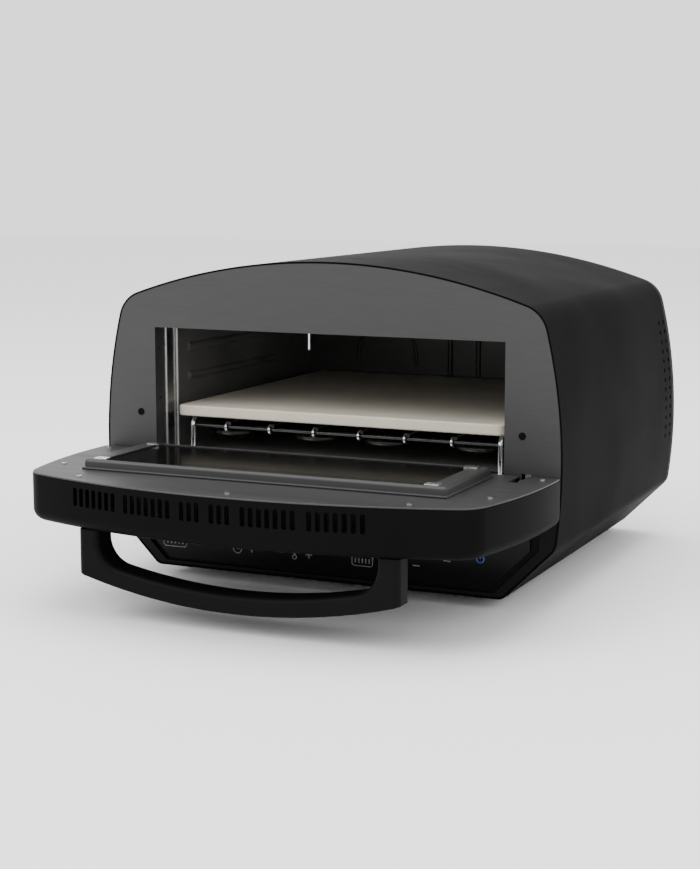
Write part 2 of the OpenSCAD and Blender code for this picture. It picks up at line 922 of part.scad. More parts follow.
win_mid = -hinge_off - 4 - frame_h / 2;
win_w = frame_w - 2 * frame_rim;
win_h = frame_h - 7;
screw_up = [[0, 158.5], [-150, 141.5], [150, 141.5], [-198, 92], [198, 92], [-210, -2], [210, -2]];
handle_y1 = -hinge_off - handle_up + handle_d;
handle_y0 = -hinge_off - handle_up;
leg_x = handle_w / 2 - 9.5;
leg_y = (handle_y0 + handle_y1) / 2;

module hinge_notch() {
  both()
    box(hinge_x - slot_w / 2, hinge_x + slot_w / 2, -36, 1, -22, 5);
}

module door_shell() {
  color([0.09, 0.09, 0.1])
    place()
      difference() {
        door_form(0, -door_t, door_edge_r);
        door_form(shell_t, -door_t + shell_t, door_edge_r - shell_t);
        box(-win_w / 2, win_w / 2, win_mid - win_h / 2, win_mid + win_h / 2, -door_t - 1, -door_t + 4);
        hinge_notch();
        both()
          rod_x(hinge_x - 10, hinge_x + 10, pivot_y, pivot_z, spring_r + spring_wire + 0.1);
        for (g = [0:5])
          for (i = [0:vent_groups[g] - 1])
            translate([vent_shift - vent_all / 2 + vent_start(g) + i * vent_pitch, 0, 0]) {
              box(0, vent_w, -hinge_off - crown_h - 2, -hinge_off - crown_h + 32, vent_low + vent_w / 2,
                  vent_top - vent_w / 2);
              for (z = [vent_low + vent_w / 2, vent_top - vent_w / 2])
                rod_y(vent_w / 2, -hinge_off - crown_h - 2, -hinge_off - crown_h + 32, z, vent_w / 2);
            }
        both()
          rod_z(leg_x, leg_y, -door_t - 1, -door_t + 4, 2.7);
      }
}

module door_inner_panel() {
  color([0.35, 0.35, 0.36])
    place()
      difference() {
        door_slab(0.3, -1.5, 0);
        box(-frame_w / 2 + 6, frame_w / 2 - 6, win_mid - frame_h / 2 + 1.5, win_mid + frame_h / 2 - 1.5, -3, 1);
        hinge_notch();
        for (p = screw_up)
          rod_z(p[0], -hinge_off - p[1], -3, 1, 1.8);
      }
}

module rim(w, h, w_in, h_in, z0, z1) {
  difference() {
    box(-w / 2, w / 2, win_mid - h / 2, win_mid + h / 2, z0, z1);
    box(-w_in / 2, w_in / 2, win_mid - h_in / 2, win_mid + h_in / 2, z0 - 1, z1 + 1);
  }
}

glass_t = 3.2;
lip_t = 1.2;

module door_frame() {
  color([0.3, 0.3, 0.31])
    place() {
      rim(frame_w + 3, frame_h + 2.5, frame_w - 4, frame_h - 4, 0, 2);
      rim(frame_w, frame_h, win_w + 6, win_h + 3, 1, frame_stand - lip_t);
      rim(frame_w, frame_h, win_w, win_h, frame_stand - lip_t, frame_stand);
    }
}

module inner_glass() {
  color([0.25, 0.27, 0.27, 0.6])
    place()
      box(-win_w / 2 - 2.8, win_w / 2 + 2.8, win_mid - win_h / 2 - 1.3, win_mid + win_h / 2 + 1.3,
          frame_stand - lip_t - glass_t, frame_stand - lip_t - 0.05);
}

tun_w = win_w + 5;
tun_h = win_h + 2.4;

module window_tunnel() {
  color([0.25, 0.25, 0.25])
    place()
      difference() {
        box(-tun_w / 2, tun_w / 2, win_mid - tun_h / 2, win_mid + tun_h / 2,
            -door_t + shell_t + 3.5, 1.8);
        box(-tun_w / 2 + 1.2, tun_w / 2 - 1.2, win_mid - tun_h / 2 + 1.2, win_mid + tun_h / 2 - 1.2,
            -door_t + shell_t + 2, 3);
      }
}

module outer_glass() {
  color([0.04, 0.04, 0.05, 0.7])
    place()
      box(-win_w / 2 - 7, win_w / 2 + 7, win_mid - win_h / 2 - 7, win_mid + win_h / 2 + 7,
          -door_t + shell_t + 0.05, -door_t + shell_t + 3.3);
}

module glass_gasket() {
  color([0.5, 0.12, 0.1])
    place()
      rim(tun_w - 0.2, tun_h - 0.2, win_w - 2, win_h - 2, 1.9, frame_stand - lip_t - glass_t - 0.05);
}

module glass_clips() {
  color([0.85, 0.86, 0.87])
    place()
      both()
        for (y = [win_mid + frame_h / 2 - 12, win_mid - frame_h / 2 + 4])
          difference() {
            union() {
              box(win_w / 2 - 4, win_w / 2 + 8, y, y + 8, frame_stand + 0.05, frame_stand + 0.85);
              box(win_w / 2 - 4, win_w / 2 - 1, y, y + 8, frame_stand - lip_t + 0.02, frame_stand + 0.1);
            }
            rod_z(win_w / 2 + 4.5, y + 4, frame_stand - 2, frame_stand + 2, 1.3);
          }
}

module door_screws() {
  color([0.7, 0.7, 0.72])
    place()
      for (p = screw_up)
        translate([p[0], -hinge_off - p[1], 0.05])
          screw(3.2, 9, 4.4, 0.9);
}

/* Handle: a bowed bar on two legs, hollow between for the fingers */

bow_r = (handle_w * handle_w / 4 + handle_bow * handle_bow) / (2 * handle_bow);
bow_z = -door_t - handle_reach + bow_r;
grip_w = handle_w - 38;
fil_r = 24;
inner_r = bow_r - handle_t;
fil_c = [grip_w / 2 - fil_r,
         bow_z - sqrt((inner_r - fil_r) * (inner_r - fil_r) - (grip_w / 2 - fil_r) * (grip_w / 2 - fil_r))];
bow_a = asin(handle_w / 2 / bow_r);
fil_a = atan2(fil_c[1] - bow_z, fil_c[0]);
function bow_half() = arc([0, bow_z], bow_r, -90, -90 + bow_a, 12);
function grip_half() =
  concat(arc([0, bow_z], inner_r, -90, fil_a, 10), tail(arc(fil_c, fil_r, fil_a, 0, 8), 1));

module handle_plan(pts, y0, y1) {
  translate([0, y1, 0])
    rotate([90, 0, 0])
      linear_extrude(height = y1 - y0)
        polygon(pts);
}

module door_handle() {
  color([0.1, 0.1, 0.11])
    place()
      difference() {
        handle_plan(concat(flip(tail(bow_half(), 1)), bow_half(),
                           [[handle_w / 2, -door_t - 0.05], [-handle_w / 2, -door_t - 0.05]]),
                    handle_y0, handle_y1);
        handle_plan(concat(flip(tail(grip_half(), 1)), grip_half(),
                           [[grip_w / 2, -door_t + 1], [-grip_w / 2, -door_t + 1]]),
                    handle_y0 - 1, handle_y1 + 1);
        both()
          rod_z(leg_x, leg_y, -door_t - 20, -door_t + 1, 2.6);
      }
}

module handle_screws() {
  color([0.6, 0.6, 0.62])
    place()
      both()
        translate([leg_x, leg_y, -door_t + shell_t + 0.05])
          screw(5, 20, 9, 3);
}

module hinge_pins() {
  color([0.8, 0.81, 0.82])
    place()
      both() {
        rod_x(hinge_x - 8.6, hinge_x + 8.6, pivot_y, pivot_z, pin_d / 2);
        rod_x(hinge_x + 8.05, hinge_x + 9.4, pivot_y, pivot_z, pin_d / 2 + 0.9);
      }
}

module hinge_yokes() {
  color([0.66, 0.67, 0.68])
    place()
      both()
        difference() {
          box(hinge_x - 8, hinge_x + 8, -38, -5 - shell_t - 0.3, -30, -1.55);
          box(hinge_x - 6, hinge_x + 6, -36, -6, -31, 0);
          rod_x(hinge_x - 12, hinge_x + 12, pivot_y, pivot_z, pin_d / 2 + 0.02);
        }
}

spring_r = pin_d / 2 + 0.1;
spring_wire = 1;

// One winding of the hinge spring round the pin, as a flat ring.
module winding(x) {
  difference() {
    rod_x(x - spring_wire / 2, x + spring_wire / 2, pivot_y, pivot_z, spring_r + spring_wire);
    rod_x(x - spring_wire, x + spring_wire, pivot_y, pivot_z, spring_r);
  }
}

module hinge_springs() {
  color([0.75, 0.76, 0.78])
    place()
      both()
        for (x = [-3.9, -2.5, 2.5, 3.9]) {
          winding(hinge_x + x);
          box(hinge_x + x - spring_wire / 2, hinge_x + x + spring_wire / 2, -34, pivot_y,
              pivot_z - spring_r - spring_wire, pivot_z - spring_r - 0.05);
        }
}

outer_wrap();
front_fascia();
rear_panel();
base_pan();
control_bezel();
panel_carrier();
control_glass();
touch_board();
power_board();
power_heatsink();
board_standoffs();
terminal_block();
power_inlet();
wiring_loom();
rubber_feet();
foot_screws();
divider_deck();
cavity_liner();
jamb_trim();
cavity_back();
insulation_wrap();
insulation_floor();
insulation_rear();
upper_element();
lower_element();
element_hangers();
element_terminals();
temp_probe();
thermal_cutout();
stone_rack();
pizza_stone();
fan_frame();
fan_motor();
fan_impeller();
fan_screws();
hinge_blades();
hinge_screws();
fascia_bumpers();
rear_screws();
door_shell();
door_inner_panel();
door_frame();
inner_glass();
window_tunnel();
outer_glass();
glass_gasket();
glass_clips();
door_screws();
door_handle();
handle_screws();
hinge_pins();
hinge_yokes();
hinge_springs();
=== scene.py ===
"""Builds a countertop pizza oven's visible pieces and finishes round its fixed frame.

Lengths in the code are millimetres from the doorway's datum: x from the middle of the
oven, y back from the face of the fascia, z up from the lowered door's inner face.
"""

import json
import math

import bmesh
import bpy
from bpy.props import FloatProperty, FloatVectorProperty, IntProperty, PointerProperty
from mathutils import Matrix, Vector


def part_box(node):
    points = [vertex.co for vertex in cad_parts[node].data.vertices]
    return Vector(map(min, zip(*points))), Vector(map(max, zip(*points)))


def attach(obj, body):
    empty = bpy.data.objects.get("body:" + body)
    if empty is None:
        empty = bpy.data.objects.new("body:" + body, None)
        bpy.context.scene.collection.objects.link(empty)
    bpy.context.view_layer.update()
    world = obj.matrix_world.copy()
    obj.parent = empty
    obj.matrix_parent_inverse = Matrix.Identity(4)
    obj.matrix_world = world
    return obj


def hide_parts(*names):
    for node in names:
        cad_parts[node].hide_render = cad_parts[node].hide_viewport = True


bl_info = {
    "name": "Countertop Pizza Oven",
    "version": (1, 0, 0),
    "blender": (4, 5, 0),
    "location": "3D View > Sidebar > Pizza Oven",
    "description": "Models the oven's skins, door, rack and stone, and gives every piece its finish",
    "category": "Object",
}

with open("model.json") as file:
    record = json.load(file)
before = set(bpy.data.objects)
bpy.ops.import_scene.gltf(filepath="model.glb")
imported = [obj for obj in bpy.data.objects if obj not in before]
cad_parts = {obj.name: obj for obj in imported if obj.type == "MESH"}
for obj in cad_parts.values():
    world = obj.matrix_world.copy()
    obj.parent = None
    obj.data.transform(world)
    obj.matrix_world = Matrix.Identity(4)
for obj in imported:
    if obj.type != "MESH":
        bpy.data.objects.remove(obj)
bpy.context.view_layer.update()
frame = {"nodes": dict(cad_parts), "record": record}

MM = 0.001
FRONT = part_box("front_fascia")[0].y
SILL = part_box("door_inner_panel")[1].z

# Millimetres from the datum that several pieces share.
HINGE_X = 190
HINGE_HALF = 4
WINDOW_HALF = 151
WINDOW_Y = (-124, -27)


def spot(x, y, z):
    """A point given in millimetres from the doorway's datum."""
    return Vector((x * MM, FRONT + y * MM, SILL + z * MM))


def side(node, axis, end):
    """Where a frame node's box ends (0 low, 1 high) along an axis, in the datum's millimetres."""
    zero = (0.0, FRONT, SILL)[axis]
    return (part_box(node)[end][axis] - zero) / MM


def metres(name, value, text):
    """A length property."""
    return FloatProperty(name=name, description=text, default=value, min=0.0, unit="LENGTH", precision=5)


def paint(name, value, text):
    """A colour property."""
    return FloatVectorProperty(name=name, description=text, default=value, min=0.0, max=1.0,
                               size=3, subtype="COLOR")


class OvenSizes(bpy.types.PropertyGroup):
    """Sizes that shape the oven's skins and wires."""
    top_radius: metres("Top radius", 0.573, "Radius of the arched top")
    side_radius: metres("Side radius", 0.480, "Radius of the bowed sides")
    corner: metres("Shoulder radius", 0.029, "Radius between the top and the sides")
    low_corner: metres("Waist radius", 0.016, "Radius where the sides turn in under the body")
    under_corner: metres("Underside radius", 0.009, "Radius where the slope meets the underside")
    slope: metres("Slope line", 0.280, "Width less height along the sloping lower sides")
    skin: metres("Skin", 0.0015, "Thickness of the outer sheet")
    fascia_gap: metres("Fascia gap", 0.0002, "Gap between the fascia and the outer sheet")
    door_edge: metres("Door edge", 0.010, "Radius round the door's outer face")
    door_wall: metres("Door wall", 0.0025, "Thickness of the door's shell")
    cap_edge: metres("Rear edge", 0.007, "Radius round the rear cap's back face")
    cap_wall: metres("Rear wall", 0.0012, "Thickness of the rear cap")
    frame_edge: metres("Frame edge", 0.0026, "Radius along the raised window frame")
    grip_bar: metres("Grip thickness", 0.0155, "Thickness of the handle's bow")
    grip_fillet: metres("Grip fillet", 0.024, "Radius inside the handle's ends")
    rail: metres("Rail wire", 0.005, "Diameter of the rack's side frames")
    wire: metres("Rack wire", 0.0035, "Diameter of the rack's long wires")
    cross_wire: metres("Cross wire", 0.0036, "Diameter of the rack's cross rods")
    jamb_bead: metres("Jamb bead", 0.0012, "Radius of the rolled edges beside the doorway")
    element: metres("Element tube", 0.0065, "Diameter of the heating elements")
    vent: metres("Vent width", 0.0042, "Width of one slot in the door's upper edge")
    vent_pitch: metres("Vent pitch", 0.00705, "Distance from slot to slot")
    smooth: IntProperty(name="Curve steps", description="Steps along each large arc", default=24, min=4)


class OvenColours(bpy.types.PropertyGroup):
    """Base colours of the oven's finishes."""
    steel: paint("Dark steel", (0.038, 0.038, 0.039), "Brushed fascia and door lining")
    body: paint("Body paint", (0.0030, 0.0030, 0.0032), "Stoved paint on the outer sheet")
    shell: paint("Door paint", (0.0038, 0.0038, 0.0041), "Satin paint on the door's outer shell")
    grip: paint("Handle", (0.0036, 0.0037, 0.0040), "Satin handle")
    stone: paint("Stone", (0.58, 0.53, 0.44), "Baking stone")
    cavity: paint("Cavity", (0.17, 0.17, 0.16), "Heat-dulled cavity walls")
    bright: paint("Bright steel", (0.66, 0.67, 0.68), "Bright trim and wires")
    marks: paint("Touch marks", (0.15, 0.155, 0.165), "Printed touch marks")
    glow: paint("Power light", (0.04, 0.07, 0.42), "Lit power mark")
    floor: paint("Floor", (0.93, 0.93, 0.93), "Studio floor")


def size(name):
    """A size property in millimetres."""
    return getattr(bpy.context.scene.oven_sizes, name) / MM


def colour(name):
    """A colour property as a tuple."""
    return tuple(getattr(bpy.context.scene.oven_colours, name))


# ---------------------------------------------------------------- modelling

def only(*objects):
    """Select just these objects, and make the first one active."""
    if bpy.context.object and bpy.context.object.mode != "OBJECT":
        bpy.ops.object.mode_set(mode="OBJECT")
    bpy.ops.object.select_all(action="DESELECT")
    for item in objects:
        item.select_set(True)
    if objects:
        bpy.context.view_layer.objects.active = objects[0]


def modify(piece, kind, **settings):
    """Add a modifier, set it and apply it."""
    only(piece)
    modifier = piece.modifiers.new(kind.title(), kind)
    for name, value in settings.items():
        setattr(modifier, name, value)
    bpy.ops.object.modifier_apply(modifier=modifier.name)
    return piece


def cut(piece, *cutters, operation="DIFFERENCE"):
    """Take each cutter out of a piece, or add it, and remove the cutter."""
    for cutter in cutters:
        modify(piece, "BOOLEAN", operation=operation, object=cutter, solver="EXACT")
        bpy.data.objects.remove(cutter)
    return piece


def soften(piece, width, segments=3, angle=35):
    """Round every edge sharper than an angle."""
    return modify(piece, "BEVEL", width=width * MM, segments=segments, limit_method="ANGLE",
                  angle_limit=math.radians(angle), harden_normals=False, miter_outer="MITER_ARC")


def smooth(piece, angle=32):
    """Shade a piece smooth except across its sharp edges."""
    only(piece)
    bpy.ops.object.shade_smooth_by_angle(angle=math.radians(angle))
    return modify(piece, "WEIGHTED_NORMAL", keep_sharp=True, weight=90)


def edit(piece, element="FACE"):
    """Enter edit mode with nothing selected."""
    only(piece)
    bpy.ops.object.mode_set(mode="EDIT")
    bpy.ops.mesh.select_mode(type=element)
    bpy.ops.mesh.select_all(action="DESELECT")


def pick(piece, kind, test):
    """Select the faces or edges that pass a test of their place."""
    mesh = bmesh.from_edit_mesh(piece.data)
    for part in getattr(mesh, kind):
        if test(part):
            part.select_set(True)
    mesh.select_flush_mode()
    bmesh.update_edit_mesh(piece.data)


def level(axis, value):
    """A test that all of a face's or edge's vertices lie at one level, in metres."""
    return lambda part: all(abs(v.co[axis] - value) < 1e-6 for v in part.verts)


def leave():
    """Go back to object mode."""
    bpy.ops.object.mode_set(mode="OBJECT")


def heal(piece):
    """Merge doubled vertices and turn the faces outwards."""
    edit(piece, "VERT")
    bpy.ops.mesh.select_all(action="SELECT")
    bpy.ops.mesh.remove_doubles(threshold=2e-6)
    bpy.ops.mesh.normals_make_consistent(inside=False)
    leave()
    return piece


def join(name, pieces):
    """Join pieces into one object."""
    only(*pieces)
    if len(pieces) > 1:
        bpy.ops.object.join()
    pieces[0].name = pieces[0].data.name = name
    return pieces[0]


def block(name, x, y, z):
    """A box between pairs of millimetre limits."""
    low, high = spot(x[0], y[0], z[0]), spot(x[1], y[1], z[1])
    only()
    bpy.ops.mesh.primitive_cube_add(size=1, location=(low + high) / 2, scale=high - low)
    piece = bpy.context.object
    bpy.ops.object.transform_apply(location=True, rotation=True, scale=True)
    piece.name = piece.data.name = name
    return piece


def rod(name, start, end, radius, sides=16):
    """A round bar from point to point."""
    run = end - start
    only()
    bpy.ops.mesh.primitive_cylinder_add(vertices=sides, radius=radius * MM, depth=run.length,
                                        location=(start + end) / 2,
                                        rotation=run.to_track_quat("Z", "Y").to_euler())
    piece = bpy.context.object
    bpy.ops.object.transform_apply(location=True, rotation=True, scale=True)
    piece.name = piece.data.name = name
    return piece


class Path:
    """A line of vertices drawn in one plane by extrude and spin."""

    def __init__(self, name, place, start):
        self.place = place
        self.here = Vector(start)
        origin, right, up = place(0, 0), place(1, 0), place(0, 1)
        self.turn = (right - origin).cross(up - origin).normalized()
        only()
        bpy.ops.mesh.primitive_plane_add(size=0.002)
        self.piece = bpy.context.object
        self.piece.name = self.piece.data.name = name
        bpy.ops.object.mode_set(mode="EDIT")
        bpy.ops.mesh.select_mode(type="VERT")
        bpy.ops.mesh.select_all(action="SELECT")
        bpy.ops.mesh.merge(type="CENTER")
        bpy.ops.transform.translate(value=place(*start))

    def line(self, end):
        """Draw straight to a point."""
        step = self.place(*end) - self.place(*self.here)
        if step.length > 1e-9:
            bpy.ops.mesh.extrude_region_move(TRANSFORM_OT_translate={"value": step})
        self.here = Vector(end)

    def arc(self, centre, end, steps, long_way=False):
        """Draw round a centre to a point."""
        a, b = self.here - Vector(centre), Vector(end) - Vector(centre)
        angle = math.atan2(a.x * b.y - a.y * b.x, a.dot(b))
        if long_way:
            angle -= math.copysign(2 * math.pi, angle)
        bpy.ops.mesh.spin(steps=steps, angle=-angle, center=self.place(*centre), axis=self.turn)
        self.here = Vector(end)

    def done(self, moves=()):
        """Run the listed moves and leave edit mode."""
        for move in moves:
            getattr(self, move[0])(*move[1:])
        leave()
        return self.piece


def upright(y):
    """Plane across the oven at a depth: points are (x, z)."""
    return lambda u, v: spot(u, y, v)


def sideways(x):
    """Plane along the oven at a distance from its middle: points are (y, z)."""
    return lambda u, v: spot(x, u, v)


def flat(z):
    """Level plane at a height: points are (x, y)."""
    return lambda u, v: spot(u, v, z)


def lowered(z):
    """Plane of the lowered door: points are (x, height the door has when it is shut)."""
    drop = -side("door_shell", 1, 0) - side("outer_wrap", 2, 1)
    return lambda u, v: spot(u, -drop - v, z)


def mirrored(piece):
    """Complete a half outline or a half set across the middle."""
    return modify(piece, "MIRROR", use_axis=(True, False, False), use_mirror_merge=True,
                  merge_threshold=2e-5)


def solid(piece, depth):
    """Fill a closed outline and extrude it by a vector."""
    edit(piece, "VERT")
    bpy.ops.mesh.select_all(action="SELECT")
    bpy.ops.mesh.remove_doubles(threshold=2e-6)
    bpy.ops.mesh.edge_face_add()
    bpy.ops.mesh.extrude_region_move(TRANSFORM_OT_translate={"value": depth})
    leave()
    return heal(piece)


def tube(piece, diameter, sides=3):
    """Turn a drawn path into a round wire."""
    only(piece)
    bpy.ops.object.convert(target="CURVE")
    piece = bpy.context.object
    piece.data.dimensions = "3D"
    piece.data.bevel_depth = diameter / 2 * MM
    piece.data.bevel_resolution = sides
    piece.data.use_fill_caps = True
    bpy.ops.object.convert(target="MESH")
    piece = bpy.context.object
    heal(piece)
    return smooth(piece, 50)


def toward(start, end, reach):
    """The point at a distance from a start, in the direction of an end."""
    return start + (end - start).normalized() * reach


def meeting(a, ra, b, rb):
    """Where two circles cross, on the right."""
    gap = (b - a).length
    along = (ra * ra - rb * rb + gap * gap) / (2 * gap)
    rise = math.sqrt(ra * ra - along * along)
    way = (b - a).normalized()
    normal = Vector((-way.y, way.x))
    points = [a + way * along + normal * rise * sign for sign in (1, -1)]
    return max(points, key=lambda p: p.x)


def body_outline(inset, top=None, foot=None):
    """Start and moves of the right half of the oven's outline, drawn in by an inset.

    top cuts the outline off level above, and foot cuts it off level below."""
    steps = bpy.context.scene.oven_sizes.smooth
    crown, half = side("outer_wrap", 2, 1), side("outer_wrap", 0, 1)
    base = side("outer_wrap", 2, 0)
    big, bow = size("top_radius"), size("side_radius")
    corner, low, under = size("corner"), size("low_corner"), size("under_corner")
    middle = Vector((0, crown - big))
    flank = Vector((half - bow, 5))
    moves = []

    def on_flank(height):
        """The side's point at a height."""
        return Vector((flank.x + math.sqrt((bow - inset) ** 2 - (height - flank.y) ** 2), height))

    if top is None:
        start = Vector((0, crown - inset))
        shoulder = meeting(middle, big - corner, flank, bow - corner)
        moves += [("arc", middle, toward(middle, shoulder, big - inset), steps),
                  ("arc", shoulder, toward(flank, shoulder, bow - inset), steps // 2)]
    else:
        start = Vector((0, top))
        moves += [("line", on_flank(top))]
    if foot is not None:
        moves += [("arc", flank, on_flank(foot), steps), ("line", Vector((0, foot)))]
        return start, moves
    slope = size("slope")
    down = Vector((1, -1)).normalized()

    def inside(radius, height=None):
        """Centre of a corner that touches the slope from inside."""
        line = slope - radius * math.sqrt(2)
        if height is not None:
            return Vector((line + height, height))
        gap = (line - flank.x + flank.y) / math.sqrt(2)
        away = math.sqrt((bow - low) ** 2 - gap * gap)
        return flank + down * gap + Vector((1, 1)).normalized() * away

    waist = inside(low)
    heel = inside(under, base + under)
    moves += [("arc", flank, toward(flank, waist, bow - inset), steps),
              ("arc", waist, waist + down * (low - inset), steps // 3),
              ("line", heel + down * (under - inset)),
              ("arc", heel, Vector((heel.x, base + inset)), steps // 3),
              ("line", Vector((0, base + inset)))]
    return start, moves


def outline(name, place, inset, **limits):
    """The whole outline of the body as a closed line."""
    start, moves = body_outline(inset, **limits)
    return mirrored(Path(name, place, start).done(moves))


def rounded_form(name, place, axis, near, far, inset, radius, **limits):
    """The body's outline made solid from near to far along an axis, with its far rim rounded."""
    depth = Vector((0, 0, 0))
    depth[axis] = (far - near) * MM
    form = solid(outline(name, place(near), inset, **limits), depth)
    edit(form, "EDGE")
    pick(form, "edges", level(axis, (0, FRONT, SILL)[axis] + far * MM))
    bpy.ops.mesh.bevel(offset=radius * MM, segments=8, affect="EDGES")
    leave()
    return form


def polygon(name, place, points):
    """A closed outline through the right half's points."""
    path = Path(name, place, points[0])
    return mirrored(path.done([("line", Vector(p)) for p in points[1:]]))


# ---------------------------------------------------------------- finishes

def link(tree, nodes_from, socket_from, nodes_to, socket_to):
    """Join two sockets."""
    tree.links.new(nodes_from.outputs[socket_from], nodes_to.inputs[socket_to])


def add(tree, kind, place, **values):
    """Add a node and set its attributes or inputs."""
    made = tree.nodes.new(kind)
    made.location = place
    for name, value in values.items():
        key = name.replace("_", " ")
        if key in made.inputs:
            made.inputs[key].default_value = value
        else:
            setattr(made, name, value)
    return made


def detail_group():
    """Grain, mottling and scratches that every finish draws on."""
    group = bpy.data.node_groups.get("surface_detail")
    if group:
        return group
    group = bpy.data.node_groups.new("surface_detail", "ShaderNodeTree")
    face = group.interface
    face.new_socket("Vector", in_out="INPUT", socket_type="NodeSocketVector")
    for name, value in (("Grain Scale", 900.0), ("Mottle Scale", 14.0), ("Scratch Scale", 60.0)):
        face.new_socket(name, in_out="INPUT", socket_type="NodeSocketFloat").default_value = value
    for name in ("Grain", "Mottle", "Scratch"):
        face.new_socket(name, in_out="OUTPUT", socket_type="NodeSocketFloat")
    inlet = add(group, "NodeGroupInput", (-700, 0))
    outlet = add(group, "NodeGroupOutput", (500, 0))
    grain = add(group, "ShaderNodeTexNoise", (-400, 250), Detail=5.0, Roughness=0.62)
    mottle = add(group, "ShaderNodeTexNoise", (-400, 0), Detail=4.0, Roughness=0.55, Distortion=0.3)
    cells = add(group, "ShaderNodeTexVoronoi", (-400, -300), feature="DISTANCE_TO_EDGE")
    thin = add(group, "ShaderNodeMapRange", (-100, -300))
    thin.inputs["From Max"].default_value = 0.02
    thin.inputs["To Min"].default_value = 1.0
    thin.inputs["To Max"].default_value = 0.0
    patch = add(group, "ShaderNodeMath", (150, -200), operation="MULTIPLY")
    for name, made in (("Grain Scale", grain), ("Mottle Scale", mottle), ("Scratch Scale", cells)):
        link(group, inlet, "Vector", made, "Vector")
        link(group, inlet, name, made, "Scale")
    link(group, cells, "Distance", thin, "Value")
    group.links.new(thin.outputs["Result"], patch.inputs[0])
    group.links.new(mottle.outputs[0], patch.inputs[1])
    group.links.new(grain.outputs[0], outlet.inputs["Grain"])
    group.links.new(mottle.outputs[0], outlet.inputs["Mottle"])
    group.links.new(patch.outputs[0], outlet.inputs["Scratch"])
    return group


def make_finish(name, dark, light, rough=(0.4, 0.55), metal=0.0, grain=900.0, mottle=14.0,
                scratch=60.0, scratches=0.0, stretch=(1, 1, 1), bump=0.15, height=0.00008,
                coat=0.0, clear=0.0, glow=0.0, share=0.5, ior=1.5, shine=0.5):
    """A material whose colour, roughness and bump follow the shared surface detail."""
    name = "oven_" + name
    made = bpy.data.materials.get(name)
    if made:
        return made
    made = bpy.data.materials.new(name)
    made.use_nodes = True
    tree = made.node_tree
    shader = tree.nodes["Principled BSDF"]
    coords = add(tree, "ShaderNodeTexCoord", (-1300, 0))
    turn = add(tree, "ShaderNodeMapping", (-1100, 0), Scale=stretch)
    detail = add(tree, "ShaderNodeGroup", (-850, 0), node_tree=detail_group())
    detail.inputs["Grain Scale"].default_value = grain
    detail.inputs["Mottle Scale"].default_value = mottle
    detail.inputs["Scratch Scale"].default_value = scratch
    link(tree, coords, "Object", turn, "Vector")
    link(tree, turn, "Vector", detail, "Vector")
    weigh = add(tree, "ShaderNodeMix", (-600, 150), data_type="FLOAT")
    weigh.inputs[0].default_value = share
    tree.links.new(detail.outputs["Mottle"], weigh.inputs[2])
    tree.links.new(detail.outputs["Grain"], weigh.inputs[3])
    ramp = add(tree, "ShaderNodeValToRGB", (-400, 150))
    ramp.color_ramp.elements[0].position = 0.3
    ramp.color_ramp.elements[1].position = 0.7
    ramp.color_ramp.elements[0].color = (*dark, 1)
    ramp.color_ramp.elements[1].color = (*light, 1)
    tree.links.new(weigh.outputs[0], ramp.inputs["Fac"])
    tree.links.new(ramp.outputs["Color"], shader.inputs["Base Color"])
    wear = add(tree, "ShaderNodeMath", (-600, -150), operation="MULTIPLY_ADD")
    wear.inputs[1].default_value = scratches
    tree.links.new(detail.outputs["Scratch"], wear.inputs[0])
    tree.links.new(detail.outputs["Mottle"], wear.inputs[2])
    spread = add(tree, "ShaderNodeMapRange", (-400, -150))
    spread.inputs["From Min"].default_value = 0.25
    spread.inputs["From Max"].default_value = 0.75
    spread.inputs["To Min"].default_value = rough[0]
    spread.inputs["To Max"].default_value = rough[1]
    tree.links.new(wear.outputs[0], spread.inputs["Value"])
    tree.links.new(spread.outputs["Result"], shader.inputs["Roughness"])
    relief = add(tree, "ShaderNodeBump", (-400, -400), Strength=bump, Distance=height)
    tree.links.new(detail.outputs["Grain"], relief.inputs["Height"])
    tree.links.new(relief.outputs["Normal"], shader.inputs["Normal"])
    shader.inputs["Metallic"].default_value = metal
    shader.inputs["IOR"].default_value = ior
    shader.inputs["Specular IOR Level"].default_value = shine
    shader.inputs["Coat Weight"].default_value = coat
    shader.inputs["Coat Roughness"].default_value = 0.06
    shader.inputs["Transmission Weight"].default_value = clear
    if glow:
        tree.links.new(ramp.outputs["Color"], shader.inputs["Emission Color"])
        shader.inputs["Emission Strength"].default_value = glow
    return made


def tint(base, amount):
    """A colour made lighter or darker by a share."""
    return tuple(min(1.0, channel * amount) for channel in base)


